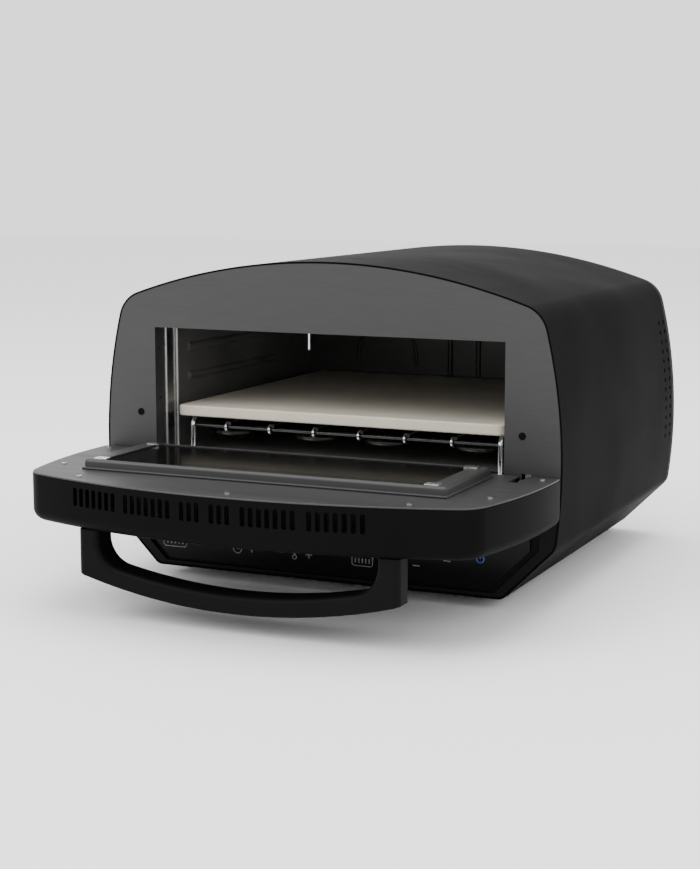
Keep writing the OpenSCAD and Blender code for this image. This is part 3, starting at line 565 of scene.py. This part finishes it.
def finish(slot):
    """The material of a record slot."""
    steel, bright, cavity = colour("steel"), colour("bright"), colour("cavity")
    brushed = dict(stretch=(0.03, 1.0, 1.0), grain=1500.0, mottle=40.0, share=0.7)
    worn = dict(metal=0.5, rough=(0.34, 0.55), grain=300.0, mottle=16.0, share=0.3,
                scratch=90.0, scratches=0.2, bump=0.12, height=0.0001)
    table = {
        "black_paint": dict(dark=tint(colour("body"), 0.85), light=tint(colour("body"), 1.15),
                            rough=(0.42, 0.52), grain=1400.0, mottle=9.0, bump=0.12, shine=0.006),
        "dark_steel": dict(dark=tint(steel, 0.86), light=tint(steel, 1.16), rough=(0.40, 0.52),
                           metal=0.55, bump=0.10, height=0.00004, **brushed),
        "black_sheet": dict(dark=(0.0055, 0.0055, 0.006), light=(0.008, 0.008, 0.0085),
                            rough=(0.5, 0.62), grain=1400.0, bump=0.16, shine=0.07),
        "black_plastic": dict(dark=(0.005, 0.005, 0.0053), light=(0.007, 0.007, 0.0073),
                              rough=(0.45, 0.58), grain=2200.0, bump=0.2, shine=0.06),
        "black_glass": dict(dark=(0.0018, 0.0018, 0.002), light=(0.0028, 0.0028, 0.003),
                            rough=(0.10, 0.16), grain=60.0, mottle=6.0, bump=0.02, shine=0.10),
        "circuit_board": dict(dark=(0.012, 0.07, 0.03), light=(0.03, 0.15, 0.06),
                              rough=(0.3, 0.5), grain=350.0, mottle=90.0, bump=0.3, height=0.0002),
        "aluminium": dict(dark=(0.62, 0.63, 0.65), light=(0.76, 0.77, 0.79), metal=1.0,
                          rough=(0.3, 0.42), stretch=(1.0, 0.04, 1.0), grain=1200.0),
        "white_nylon": dict(dark=(0.66, 0.64, 0.57), light=(0.78, 0.76, 0.70), rough=(0.4, 0.55),
                            grain=700.0),
        "wire_sleeve": dict(dark=(0.30, 0.04, 0.03), light=(0.46, 0.08, 0.05), rough=(0.5, 0.65),
                            grain=1800.0, bump=0.4, height=0.0001),
        "rubber": dict(dark=(0.003, 0.003, 0.003), light=(0.005, 0.005, 0.005), rough=(0.7, 0.85),
                       grain=1600.0, bump=0.3, shine=0.03),
        "zinc_steel": dict(dark=(0.20, 0.205, 0.21), light=(0.32, 0.325, 0.335), metal=1.0,
                           rough=(0.28, 0.42), grain=500.0, mottle=60.0),
        "cavity_steel": dict(dark=tint(cavity, 0.72), light=tint(cavity, 1.2), **worn),
        # Rear wall: the cavity steel darkened as painted shade for the depth of the cavity; its scratches and
        # mottling are real wear.
        "rear_wall": dict(dark=tint(cavity, 0.16), light=tint(cavity, 0.28), **worn),
        "bright_steel": dict(dark=tint(bright, 0.85), light=tint(bright, 1.1), metal=1.0,
                             rough=(0.16, 0.28), stretch=(1.0, 1.0, 0.04), grain=1400.0, bump=0.06),
        "bead_steel": dict(dark=(0.30, 0.30, 0.29), light=(0.42, 0.42, 0.41), metal=0.5,
                           rough=(0.22, 0.34), grain=900.0, bump=0.05),
        "insulation": dict(dark=(0.60, 0.56, 0.46), light=(0.84, 0.81, 0.72), rough=(0.85, 0.95),
                           grain=420.0, mottle=40.0, stretch=(1.0, 0.25, 1.0), bump=0.8, height=0.001),
        "element_sheath": dict(dark=(0.022, 0.021, 0.02), light=(0.05, 0.048, 0.046), metal=0.9,
                               rough=(0.2, 0.34), grain=700.0, mottle=30.0, bump=0.12),
        # Shaded wire: the rack's plated wire darkened as painted shade for the long wires and cross rods,
        # while the frames and curls keep the bright chrome.
        "dull_wire": dict(dark=(0.035, 0.035, 0.035), light=(0.075, 0.075, 0.075), metal=1.0,
                          rough=(0.18, 0.3), grain=800.0, mottle=50.0, bump=0.06),
        "chrome_wire": dict(dark=(0.62, 0.63, 0.64), light=(0.80, 0.81, 0.82), metal=1.0,
                            rough=(0.08, 0.18), grain=800.0, mottle=50.0, bump=0.04),
        "ceramic": dict(dark=(0.74, 0.71, 0.62), light=(0.86, 0.83, 0.75), rough=(0.35, 0.5),
                        grain=600.0, bump=0.1),
        "baking_stone": dict(dark=tint(colour("stone"), 0.80), light=tint(colour("stone"), 1.12),
                             rough=(0.72, 0.88), grain=420.0, mottle=11.0, share=0.45,
                             bump=0.35, height=0.0003),
        "black_screw": dict(dark=(0.014, 0.014, 0.015), light=(0.03, 0.03, 0.032), metal=0.6,
                            rough=(0.35, 0.5), grain=900.0),
        "black_shell": dict(dark=tint(colour("shell"), 0.85), light=tint(colour("shell"), 1.2),
                            rough=(0.38, 0.48), grain=1500.0, mottle=10.0, bump=0.12, shine=0.012),
        "window_glass": dict(dark=(0.004, 0.0042, 0.004), light=(0.008, 0.0084, 0.0076), rough=(0.10, 0.16),
                             clear=0.6, grain=40.0, mottle=8.0, bump=0.0, ior=1.06, shine=0.05),
        "handle_black": dict(dark=tint(colour("grip"), 0.85), light=tint(colour("grip"), 1.2),
                             rough=(0.40, 0.50), grain=2000.0, bump=0.14, shine=0.04),
        # The printed marks also glow faintly: a painted glow, as the marks are no lamp.
        "touch_marks": dict(dark=tint(colour("marks"), 0.9), light=tint(colour("marks"), 1.1),
                            rough=(0.4, 0.5), glow=0.05),
        "power_light": dict(dark=tint(colour("glow"), 0.85), light=tint(colour("glow"), 1.1),
                            rough=(0.3, 0.4), glow=0.12),
        "studio_floor": dict(dark=tint(colour("floor"), 0.99), light=colour("floor"),
                             rough=(0.7, 0.8), grain=30.0, mottle=2.0, bump=0.0),
    }
    return make_finish(slot, **table[slot])


def settle(piece, body, slot, *nodes, coat=None):
    """Give a finished piece its slot's finish, or a coat's finish in its stead, hang it on its body and hide
    the frame nodes it stands for.
    """
    piece.data.materials.clear()
    piece.data.materials.append(finish(coat or slot))
    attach(piece, body)
    if nodes:
        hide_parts(*nodes)
    return piece


# ---------------------------------------------------------------- pieces

class Build:
    """What the oven's operators share."""
    bl_options = {"REGISTER", "UNDO"}

    def execute(self, context):
        self.make()
        return {"FINISHED"}


class OVEN_OT_outer_skin(Build, bpy.types.Operator):
    """Model the arched outer sheet with its two rows of side perforations"""
    bl_idname = "oven.outer_skin"
    bl_label = "Outer skin"

    def make(self):
        front, back = side("outer_wrap", 1, 0), side("outer_wrap", 1, 1)
        skin = outline("outer_skin", upright(front), 0)
        edit(skin, "VERT")
        bpy.ops.mesh.select_all(action="SELECT")
        bpy.ops.mesh.remove_doubles(threshold=2e-6)
        bpy.ops.mesh.extrude_region_move(
            TRANSFORM_OT_translate={"value": (0, (back - front) * MM, 0)})
        leave()
        heal(skin)
        modify(skin, "SOLIDIFY", thickness=size("skin") * MM, offset=-1, use_even_offset=True)
        soften(skin, 0.4, 2, 50)
        for y in (338, 367):
            edit(skin)
            bpy.ops.mesh.select_all(action="SELECT")
            bpy.ops.mesh.bisect(plane_co=spot(0, y, 0), plane_no=(0, 1, 0))
            leave()
        wide = side("outer_wrap", 0, 1) + 5
        drills = [rod("drill", spot(-wide, y, z), spot(wide, y, z), 2.3, 14)
                  for y in (344, 361) for z in [-12 + 9.5 * i for i in range(13)]]
        cut(skin, join("drills", drills))
        settle(smooth(skin), "oven", "black_paint", "outer_wrap")


class OVEN_OT_fascia(Build, bpy.types.Operator):
    """Model the brushed fascia with its doorway flange, stops' holes and hinge slots"""
    bl_idname = "oven.fascia"
    bl_label = "Front fascia"

    def make(self):
        low = side("front_fascia", 2, 0)
        deep = side("front_fascia", 1, 1)
        mouth, sill, lintel = 170, -6, 112
        inset = size("skin") + size("fascia_gap")
        plate = solid(outline("fascia", upright(0), inset, foot=low), Vector((0, 1.5 * MM, 0)))
        cut(plate, block("flange", (-mouth - 1.5, mouth + 1.5), (0.2, deep), (sill - 1, lintel + 1.5)),
            operation="UNION")
        doorway = block("doorway", (-mouth, mouth), (-2, deep + 2), (sill, lintel))
        cut(plate, doorway)
        bumper_x, bumper_z, bumper_radius = 186, 33, 3.3
        holes = [rod("hole", spot(x, -2, bumper_z), spot(x, 4, bumper_z), bumper_radius, 24)
                 for x in (-bumper_x, bumper_x)]
        holes += [rod("hole", spot(-mouth - 5, deep / 2, z), spot(mouth + 5, deep / 2, z), 1.5, 20)
                  for z in (46, 92)]
        holes += [block("slot", (x - HINGE_HALF, x + HINGE_HALF), (-2, 4), (low - 2, 1))
                  for x in (-HINGE_X, HINGE_X)]
        cut(plate, join("holes", holes))
        soften(plate, 0.45, 2, 40)
        settle(smooth(plate), "oven", "dark_steel", "front_fascia")
        self.beads()

    def beads(self):
        """Rolled upright edges of the jamb strips, before and behind."""
        radius = size("jamb_bead")
        strip, clear = 1, 0.2
        x = side("jamb_trim", 0, 1) - strip - radius
        foot = side("jamb_trim", 2, 0) + strip + clear
        head = side("jamb_trim", 2, 1) - strip - clear
        made = [rod("bead", spot(sign * x, y, foot), spot(sign * x, y, head), radius)
                for y in (side("jamb_trim", 1, 0) + radius, side("jamb_trim", 1, 1) - radius)
                for sign in (-1, 1)]
        settle(smooth(join("jamb_beads", made)), "oven", "bright_steel", coat="bead_steel")


class OVEN_OT_rear_cap(Build, bpy.types.Operator):
    """Model the rounded rear cap with its fan grille, socket opening and upper vents"""
    bl_idname = "oven.rear_cap"
    bl_label = "Rear cap"

    def make(self):
        front, back = side("rear_panel", 1, 0), side("rear_panel", 1, 1)
        wall = size("cap_wall")
        edge = size("cap_edge")
        cap = rounded_form("rear_cap", upright, 1, front, back, 0, edge)
        cut(cap, rounded_form("hollow", upright, 1, front - 2, back - wall, wall, edge - wall))
        fan_low, fan_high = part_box("fan_frame")
        fan_x = (fan_low.x + fan_high.x) / 2 / MM
        fan_z = ((fan_low.z + fan_high.z) / 2 - SILL) / MM
        centre = Vector((fan_x, fan_z))
        rings, first, pitch, width, bridge = 5, 8, 7, 3.4, 2.5
        slots = []
        for ring in range(rings):
            inner = first + pitch * ring
            outer = inner + width
            for turn in range(4):
                half = math.pi / 4 - bridge / inner
                aim = turn * math.pi / 2
                corner = [Vector((fan_x + r * math.cos(aim + s * half), fan_z + r * math.sin(aim + s * half)))
                          for r, s in ((inner, -1), (inner, 1), (outer, 1), (outer, -1))]
                slots.append(solid(Path("slot", upright(back - 4), corner[0]).done([
                    ("arc", centre, corner[1], 8), ("line", corner[2]),
                    ("arc", centre, corner[3], 8), ("line", corner[0])]), Vector((0, 6 * MM, 0))))
        through = (back - 4, back + 2)
        vent_pitch, vent_half, vent_z = 20, 6, (132, 135.5)
        slots += [block("vent", (vent_pitch * i - vent_half, vent_pitch * i + vent_half), through, vent_z)
                  for i in range(-6, 7)]
        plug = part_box("power_inlet")
        plug_x = (plug[0].x + plug[1].x) / 2 / MM
        plug_half, plug_z = 14, (-76, -56)
        slots.append(block("socket", (plug_x - plug_half, plug_x + plug_half), through, plug_z))
        cut(cap, join("slots", slots))
        screws = [(-180, 120), (180, 120), (-205, 20), (205, 20), (-205, -50), (205, -50), (0, 160)]
        screw_radius = 1.7
        cut(cap, join("screw_holes", [rod("hole", spot(x, through[0], z), spot(x, through[1], z),
                                          screw_radius, 16) for x, z in screws]))
        soften(cap, 0.3, 2, 50)
        settle(smooth(cap), "oven", "black_sheet", "rear_panel")


def chamfered(name, y, half, top, low, line):
    """An upright panel outline whose lower corners are cut off at 45 degrees."""
    return polygon(name, upright(y),
                   [(0, top), (half, top), (half, half - line), (low + line, low), (0, low)])


class OVEN_OT_control_panel(Build, bpy.types.Operator):
    """Model the control panel's surround, black glass and touch marks"""
    bl_idname = "oven.control_panel"
    bl_label = "Control panel"

    def make(self):
        glass_x = side("control_glass", 0, 1)
        top, low = side("control_glass", 2, 1), side("control_glass", 2, 0)
        face, rear = side("control_glass", 1, 0), side("control_glass", 1, 1)
        line = 260.2
        inset = size("skin") + size("fascia_gap")
        y0, y1 = side("control_bezel", 1, 0), side("control_bezel", 1, 1)
        bezel = solid(outline("control_surround", upright(y0), inset, top=side("control_bezel", 2, 1)),
                      Vector((0, (y1 - y0) * MM, 0)))
        hole = solid(chamfered("hole", y0 - 3, glass_x + 8, top + 2.5, low - 2, line + 6),
                     Vector((0, (y1 - y0 + 6) * MM, 0)))
        soften(cut(bezel, hole), 0.6, 3)
        settle(smooth(bezel), "oven", "black_plastic", "control_bezel")
        glass = solid(chamfered("panel_glass", face, glass_x, top, low, line),
                      Vector((0, (rear - face) * MM, 0)))
        soften(glass, 0.5, 3)
        settle(smooth(glass), "oven", "black_glass", "control_glass")
        self.marks(face)

    def marks(self, face):
        """Printed marks that stand a hair proud of the glass."""
        plane = upright(face)
        made = []

        def stroke(points, thick=0.9):
            path = Path("mark", plane, points[0])
            made.append(tube(path.done([("line", Vector(p)) for p in points[1:]]), thick, 1))

        def ring(x, z, radius, start=0.0, sweep=2 * math.pi):
            points = [(x + radius * math.cos(start + sweep * i / 24),
                       z + radius * math.sin(start + sweep * i / 24)) for i in range(25)]
            stroke(points)

        def frame_box(x, z, wide, high, bars):
            a, b, cut_off = wide / 2, high / 2, 1.6
            ends = [(x - a + cut_off, z + b), (x + a - cut_off, z + b), (x + a, z + b - cut_off),
                    (x + a, z - b + cut_off), (x + a - cut_off, z - b), (x - a + cut_off, z - b),
                    (x - a, z - b + cut_off), (x - a, z + b - cut_off), (x - a + cut_off, z + b)]
            stroke(ends)
            for i in range(bars):
                at = x - a + wide * (i + 1) / (bars + 1)
                stroke([(at, z - b + 2.6), (at, z + b - 2.6)], 1.1)

        def plus(x, z, reach=3.2):
            stroke([(x - reach, z), (x + reach, z)], 1.1)
            stroke([(x, z - reach), (x, z + reach)], 1.1)

        def dash(x, z, reach=3.2):
            stroke([(x - reach, z), (x + reach, z)], 1.1)

        frame_box(-152, -87, 24, 9.5, 5)
        frame_box(38.5, -88, 20, 9.5, 5)
        ring(-86.5, -88.1, 4.2)
        stroke([(-86.5, -85.3), (-86.5, -88.1), (-84.4, -88.1)])
        plus(-72, -87.5)
        dash(-43, -87.1)
        ring(-28.4, -90.7, 1.9)
        stroke([(-28.4, -88.7), (-28.4, -83.3)], 1.4)
        plus(-14, -87.5)
        dash(90, -87.5)
        dash(119, -80.7)
        marks = join("touch_marks", made)
        settle(marks, "oven", "black_glass", coat="touch_marks")
        made.clear()
        ring(149.5, -76, 3.4, math.radians(120), math.radians(300))
        stroke([(149.5, -75.6), (149.5, -71.6)])
        settle(join("power_mark", made), "oven", "black_glass", coat="power_light")


class OVEN_OT_door(Build, bpy.types.Operator):
    """Model the drop-down door: outer shell, brushed lining and raised window frame"""
    bl_idname = "oven.door"
    bl_label = "Door"

    def make(self):
        self.shell()
        self.lining()
        self.window_frame()

    def shell(self):
        """Satin outer shell with a rounded edge, a window and slots in its upper edge."""
        low, high = side("door_shell", 2, 0), side("door_shell", 2, 1)
        wall = size("door_wall")
        foot = -14.5
        edge_round = size("door_edge")
        shell = rounded_form("door_shell_skin", lowered, 2, high, low, 0, edge_round, foot=foot)
        cut(shell, rounded_form("hollow", lowered, 2, high + 2, low + wall, wall, edge_round - wall,
                                foot=foot + wall))
        window = block("window", (-WINDOW_HALF, WINDOW_HALF), WINDOW_Y, (low - 3, low + wall + 3))
        modify(window, "BEVEL", width=4 * MM, segments=4)
        cut(shell, window)
        pitch, width = size("vent_pitch"), size("vent")
        edge = side("door_shell", 1, 0)
        groups = (7, 7, 3, 3, 7, 7)
        gap = 13.4
        total = sum((n - 1) * pitch for n in groups) + gap * (len(groups) - 1)
        at = -total / 2 - 12.3
        slots = []
        for count in groups:
            for _ in range(count):
                slots.append(block("vent", (at - width / 2, at + width / 2), (edge - 2, edge + 22),
                                   (-22, -6.5)))
                at += pitch
            at += gap - pitch
        vents = join("vents", slots)
        soften(vents, 1.5, 3)
        cut(shell, vents, self.notches())
        soften(shell, 0.3, 2, 48)
        settle(smooth(shell), "door", "black_shell", "door_shell")

    def notches(self):
        """Clearance for the two hinge arms through the door's lower edge."""
        return join("notches", [block("notch", (x - HINGE_HALF, x + HINGE_HALF), (-36, 1), (-22, 5))
                                for x in (-HINGE_X, HINGE_X)])

    def lining(self):
        """Brushed plate on the door's inner side, with its window and screw holes."""
        low, high = side("door_inner_panel", 2, 0), side("door_inner_panel", 2, 1)
        inset = 0.4
        plate = solid(outline("door_lining", lowered(high), inset, foot=-14.1),
                      Vector((0, 0, (low - high) * MM)))
        window = block("window", (-153.6, 153.6), (-125.3, -25.7), (low - 3, high + 3))
        cut(plate, window, self.notches())
        soften(plate, 0.5, 3, 40)
        settle(smooth(plate), "door", "dark_steel", "door_inner_panel")

    def window_frame(self):
        """Raised frame round the door's inner glass."""
        low, high = side("door_frame", 2, 0), side("door_frame", 2, 1)
        edge = size("frame_edge")
        ring = block("window_frame", (-167, 167), (-127.5, -23.5), (low, high))
        modify(ring, "BEVEL", width=edge * MM, segments=5, limit_method="ANGLE")
        flange = block("flange", (-168.5, 168.5), (-128.75, -22.25), (low, low + 2))
        modify(flange, "BEVEL", width=0.7 * MM, segments=3)
        cut(ring, flange, operation="UNION")
        cut(ring, block("opening", (-WINDOW_HALF, WINDOW_HALF), WINDOW_Y, (low - 3, high + 3)))
        soften(ring, 0.35, 2, 50)
        settle(smooth(ring), "door", "dark_steel", "door_frame")


class OVEN_OT_handle(Build, bpy.types.Operator):
    """Model the bowed handle under the lowered door"""
    bl_idname = "oven.handle"
    bl_label = "Door handle"

    def make(self):
        half = side("door_handle", 0, 1)
        y0, y1 = side("door_handle", 1, 0), side("door_handle", 1, 1)
        root, tip = side("door_handle", 2, 1), side("door_handle", 2, 0)
        sag, fillet = 20.5, size("grip_fillet")
        bow = (half * half + sag * sag) / (2 * sag)
        centre = Vector((0, tip + bow))
        inner = bow - size("grip_bar")
        leg = half - 19
        turn = Vector((leg - fillet, centre.y - math.sqrt((inner - fillet) ** 2 - (leg - fillet) ** 2)))
        moves = [("arc", centre, Vector((half, tip + sag)), 24),
                 ("line", Vector((half, root))), ("line", Vector((leg, root))),
                 ("line", Vector((leg, turn.y))),
                 ("arc", turn, toward(centre, turn, inner), 10),
                 ("arc", centre, Vector((0, centre.y - inner)), 20)]
        handle = mirrored(Path("door_pull", upright(y0), (0, tip)).done(moves))
        solid(handle, Vector((0, (y1 - y0) * MM, 0)))
        edit(handle, "EDGE")
        pick(handle, "edges", lambda e: all(abs(abs(v.co.x) - half * MM) < 1e-6 for v in e.verts)
             and abs(e.verts[0].co.z - e.verts[1].co.z) > 0.01)
        bpy.ops.mesh.bevel(offset=6 * MM, segments=6, affect="EDGES")
        leave()
        edit(handle, "EDGE")
        pick(handle, "edges", lambda e: all(abs(v.co.y - spot(0, y0, 0).y) < 1e-6
                                            and abs(v.co.x) < (leg + 0.1) * MM for v in e.verts)
             and all(self.in_grip(v.co, centre, inner, leg) for v in e.verts))
        bpy.ops.mesh.bevel(offset=5 * MM, segments=6, affect="EDGES")
        leave()
        soften(handle, 1.8, 4, 40)
        settle(smooth(handle), "door", "handle_black", "door_handle")

    def in_grip(self, place, centre, inner, leg):
        """Whether a vertex lies on the hand opening's edge."""
        x, z = abs(place.x) / MM, (place.z - SILL) / MM
        reach = math.hypot(x, z - centre.y)
        return reach < inner + 0.2 and (x < leg + 0.1)


class OVEN_OT_stone(Build, bpy.types.Operator):
    """Model the square baking stone"""
    bl_idname = "oven.stone"
    bl_label = "Baking stone"

    def make(self):
        low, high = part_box("pizza_stone")
        only()
        bpy.ops.mesh.primitive_cube_add(size=1, location=(low + high) / 2, scale=high - low)
        stone = bpy.context.object
        bpy.ops.object.transform_apply(location=True, rotation=True, scale=True)
        stone.name = stone.data.name = "stone_slab"
        edit(stone, "EDGE")
        pick(stone, "edges", lambda e: abs(e.verts[0].co.z - e.verts[1].co.z) > 0.001)
        bpy.ops.mesh.bevel(offset=6 * MM, segments=6, affect="EDGES")
        leave()
        soften(stone, 1.6, 4, 40)
        settle(smooth(stone), "stone", "baking_stone", "pizza_stone")


class OVEN_OT_rack(Build, bpy.types.Operator):
    """Model the plated wire rack under the stone"""
    bl_idname = "oven.rack"
    bl_label = "Stone rack"

    def make(self):
        rail, wire = size("rail"), size("wire")
        foot, top = side("stone_rack", 2, 0), side("stone_rack", 2, 1) - rail / 2
        curl_bite, above_element, rear_rod = 0.2, 1.5, 35.5
        front = side("stone_rack", 1, 0) + rail / 2 + wire - curl_bite
        back = side("stone_rack", 1, 1) - rail / 2
        wide = side("stone_rack", 0, 1) - rail / 2
        bend = 8
        cross = side("lower_element", 2, 1) + rail / 2 + above_element
        rods = (front, back - rear_rod)
        made = []
        for x in (-wide, wide):
            path = Path("side_frame", sideways(x), (front, foot))
            made.append(tube(path.done([
                ("line", Vector((front, top - bend))),
                ("arc", Vector((front + bend, top - bend)), Vector((front + bend, top)), 8),
                ("line", Vector((back - bend, top))),
                ("arc", Vector((back - bend, top - bend)), Vector((back, top - bend)), 8),
                ("line", Vector((back, foot)))]), rail, 4))
            made.append(tube(Path("post", sideways(x), (rods[1], cross)).done(
                [("line", Vector((rods[1], top)))]), rail * 0.8))
        wires = [tube(Path("cross_rod", upright(y), (-wide, cross)).done(
            [("line", Vector((wide, cross)))]), size("cross_wire"), 4) for y in rods]
        curl = (size("cross_wire") + wire) / 2
        eye = Vector((rods[0], cross))
        for i in range(6):
            x = 45 * (i - 2.5)
            wires.append(tube(Path("long_wire", sideways(x), (back - 7.5, cross + curl)).done([
                ("line", Vector((front - 4, cross + curl)))]), wire))
            made.append(tube(Path("curl", sideways(x - wire - 0.6), (rods[0] + curl, cross - 2)).done([
                ("line", eye + Vector((curl, 0))),
                ("arc", eye, eye + Vector((0, curl)), 6),
                ("arc", eye, eye + Vector((-curl, 0)), 6),
                ("arc", eye, eye + Vector((0, -curl)), 6)]), wire * 0.8))
        settle(join("wire_rack", made), "oven", "chrome_wire", "stone_rack")
        # The long wires and cross rods take a darker copy of the chrome: painted shade.
        settle(join("rack_wires", wires), "oven", "chrome_wire", coat="dull_wire")


class OVEN_OT_elements(Build, bpy.types.Operator):
    """Model the upper and lower heating elements"""
    bl_idname = "oven.elements"
    bl_label = "Heating elements"

    def make(self):
        for name in ("upper_element", "lower_element"):
            z = (side(name, 2, 0) + side(name, 2, 1)) / 2
            rear = side(name, 1, 1)
            made = [self.loop(name, z, rear, sign) for sign in (1, -1)]
            tubes = join(name + "_tube", made)
            settle(tubes, "oven", "element_sheath", name)

    def loop(self, name, z, rear, sign):
        """One side's element: four legs joined by three bends."""
        near, far, turn, middle = 72, 300, 22, 22.5

        def at(x, y):
            return Vector((sign * x, y))

        path = Path(name, flat(z), at(13, rear))
        return tube(path.done([
            ("line", at(13, near)), ("arc", at(13 + turn, near), at(13 + turn, near - turn), 8),
            ("arc", at(13 + turn, near), at(57, near), 8), ("line", at(57, far)),
            ("arc", at(57 + middle, far), at(57 + middle, far + middle), 8),
            ("arc", at(57 + middle, far), at(102, far), 8), ("line", at(102, near)),
            ("arc", at(102 + turn, near), at(102 + turn, near - turn), 8),
            ("arc", at(102 + turn, near), at(146, near), 8), ("line", at(146, rear))]),
            size("element"), 4)


class OVEN_OT_frame_finishes(Build, bpy.types.Operator):
    """Give every frame part that stays in view the finish of its slot"""
    bl_idname = "oven.frame_finishes"
    bl_label = "Finishes of the frame's parts"

    def make(self):
        slots = {part["node"]: part["material_slot"] for part in frame["record"]["subparts"]}
        # The cavity's back wall takes the cavity steel darkened as painted shade.
        slots["cavity_back"] = "rear_wall"
        for name, piece in frame["nodes"].items():
            made = finish(slots[name])
            if not piece.material_slots:
                piece.data.materials.append(made)
            for place in piece.material_slots:
                place.material = made


class OVEN_OT_stage(Build, bpy.types.Operator):
    """Set the floor, the soft lights and the camera"""
    bl_idname = "oven.stage"
    bl_label = "Stage"

    def make(self):
        only()
        bpy.ops.mesh.primitive_plane_add(size=14)
        floor = bpy.context.object
        floor.name = "floor"
        floor.data.materials.append(finish("studio_floor"))
        world = bpy.context.scene.world or bpy.data.worlds.new("studio")
        bpy.context.scene.world = world
        world.use_nodes = True
        sky = world.node_tree.nodes["Background"]
        sky.inputs["Color"].default_value = (1.0, 1.0, 1.0, 1)
        sky.inputs["Strength"].default_value = 1.7
        for name, place, aim, wide, power in (
                ("key", (-1.6, -2.0, 2.2), (0, -0.1, 0.1), 2.0, 60),
                ("fill", (2.4, -0.6, 1.6), (0, 0, 0.15), 1.8, 16),
                ("top", (0.1, 0.3, 2.6), (0, 0.1, 0), 2.2, 50)):
            only()
            bpy.ops.object.light_add(type="AREA", location=place)
            lamp = bpy.context.object
            lamp.name = name
            lamp.data.size = wide
            lamp.data.energy = power
            lamp.rotation_euler = (Vector(aim) - Vector(place)).to_track_quat("-Z", "Y").to_euler()
        only()
        yaw, pitch = math.radians(24.4), math.radians(8.6)
        bpy.ops.object.camera_add(location=(0.6569, -1.4841, 0.3743))
        camera = bpy.context.object
        look = Vector((-math.sin(yaw) * math.cos(pitch), math.cos(yaw) * math.cos(pitch), -math.sin(pitch)))
        camera.rotation_euler = look.to_track_quat("-Z", "Y").to_euler()
        camera.data.lens = 72.66
        camera.data.sensor_width = 36
        bpy.context.scene.camera = camera


OPERATORS = (OVEN_OT_outer_skin, OVEN_OT_fascia, OVEN_OT_rear_cap, OVEN_OT_control_panel, OVEN_OT_door,
             OVEN_OT_handle, OVEN_OT_stone, OVEN_OT_rack, OVEN_OT_elements, OVEN_OT_frame_finishes,
             OVEN_OT_stage)


class OVEN_PT_pieces(bpy.types.Panel):
    """The oven's pieces, sizes and colours"""
    bl_idname = "OVEN_PT_pieces"
    bl_label = "Pizza Oven"
    bl_space_type = "VIEW_3D"
    bl_region_type = "UI"
    bl_category = "Pizza Oven"

    def draw(self, context):
        column = self.layout.column()
        for group in (context.scene.oven_sizes, context.scene.oven_colours):
            for name in group.__annotations__:
                column.prop(group, name)
        for operator in OPERATORS:
            column.operator(operator.bl_idname)


CLASSES = (OvenSizes, OvenColours, *OPERATORS, OVEN_PT_pieces)


def register():
    """Register the classes and the scene's properties."""
    for item in CLASSES:
        bpy.utils.register_class(item)
    bpy.types.Scene.oven_sizes = PointerProperty(type=OvenSizes)
    bpy.types.Scene.oven_colours = PointerProperty(type=OvenColours)


def unregister():
    """Remove the classes and the scene's properties."""
    del bpy.types.Scene.oven_sizes
    del bpy.types.Scene.oven_colours
    for item in reversed(CLASSES):
        bpy.utils.unregister_class(item)


def main():
    """Build every piece."""
    register()
    for operator in OPERATORS:
        group, name = operator.bl_idname.split(".")
        if getattr(getattr(bpy.ops, group), name)() != {"FINISHED"}:
            raise RuntimeError(operator.bl_label + " did not finish")
    only()
    bpy.context.view_layer.update()


if __name__ == "__main__":
    main()
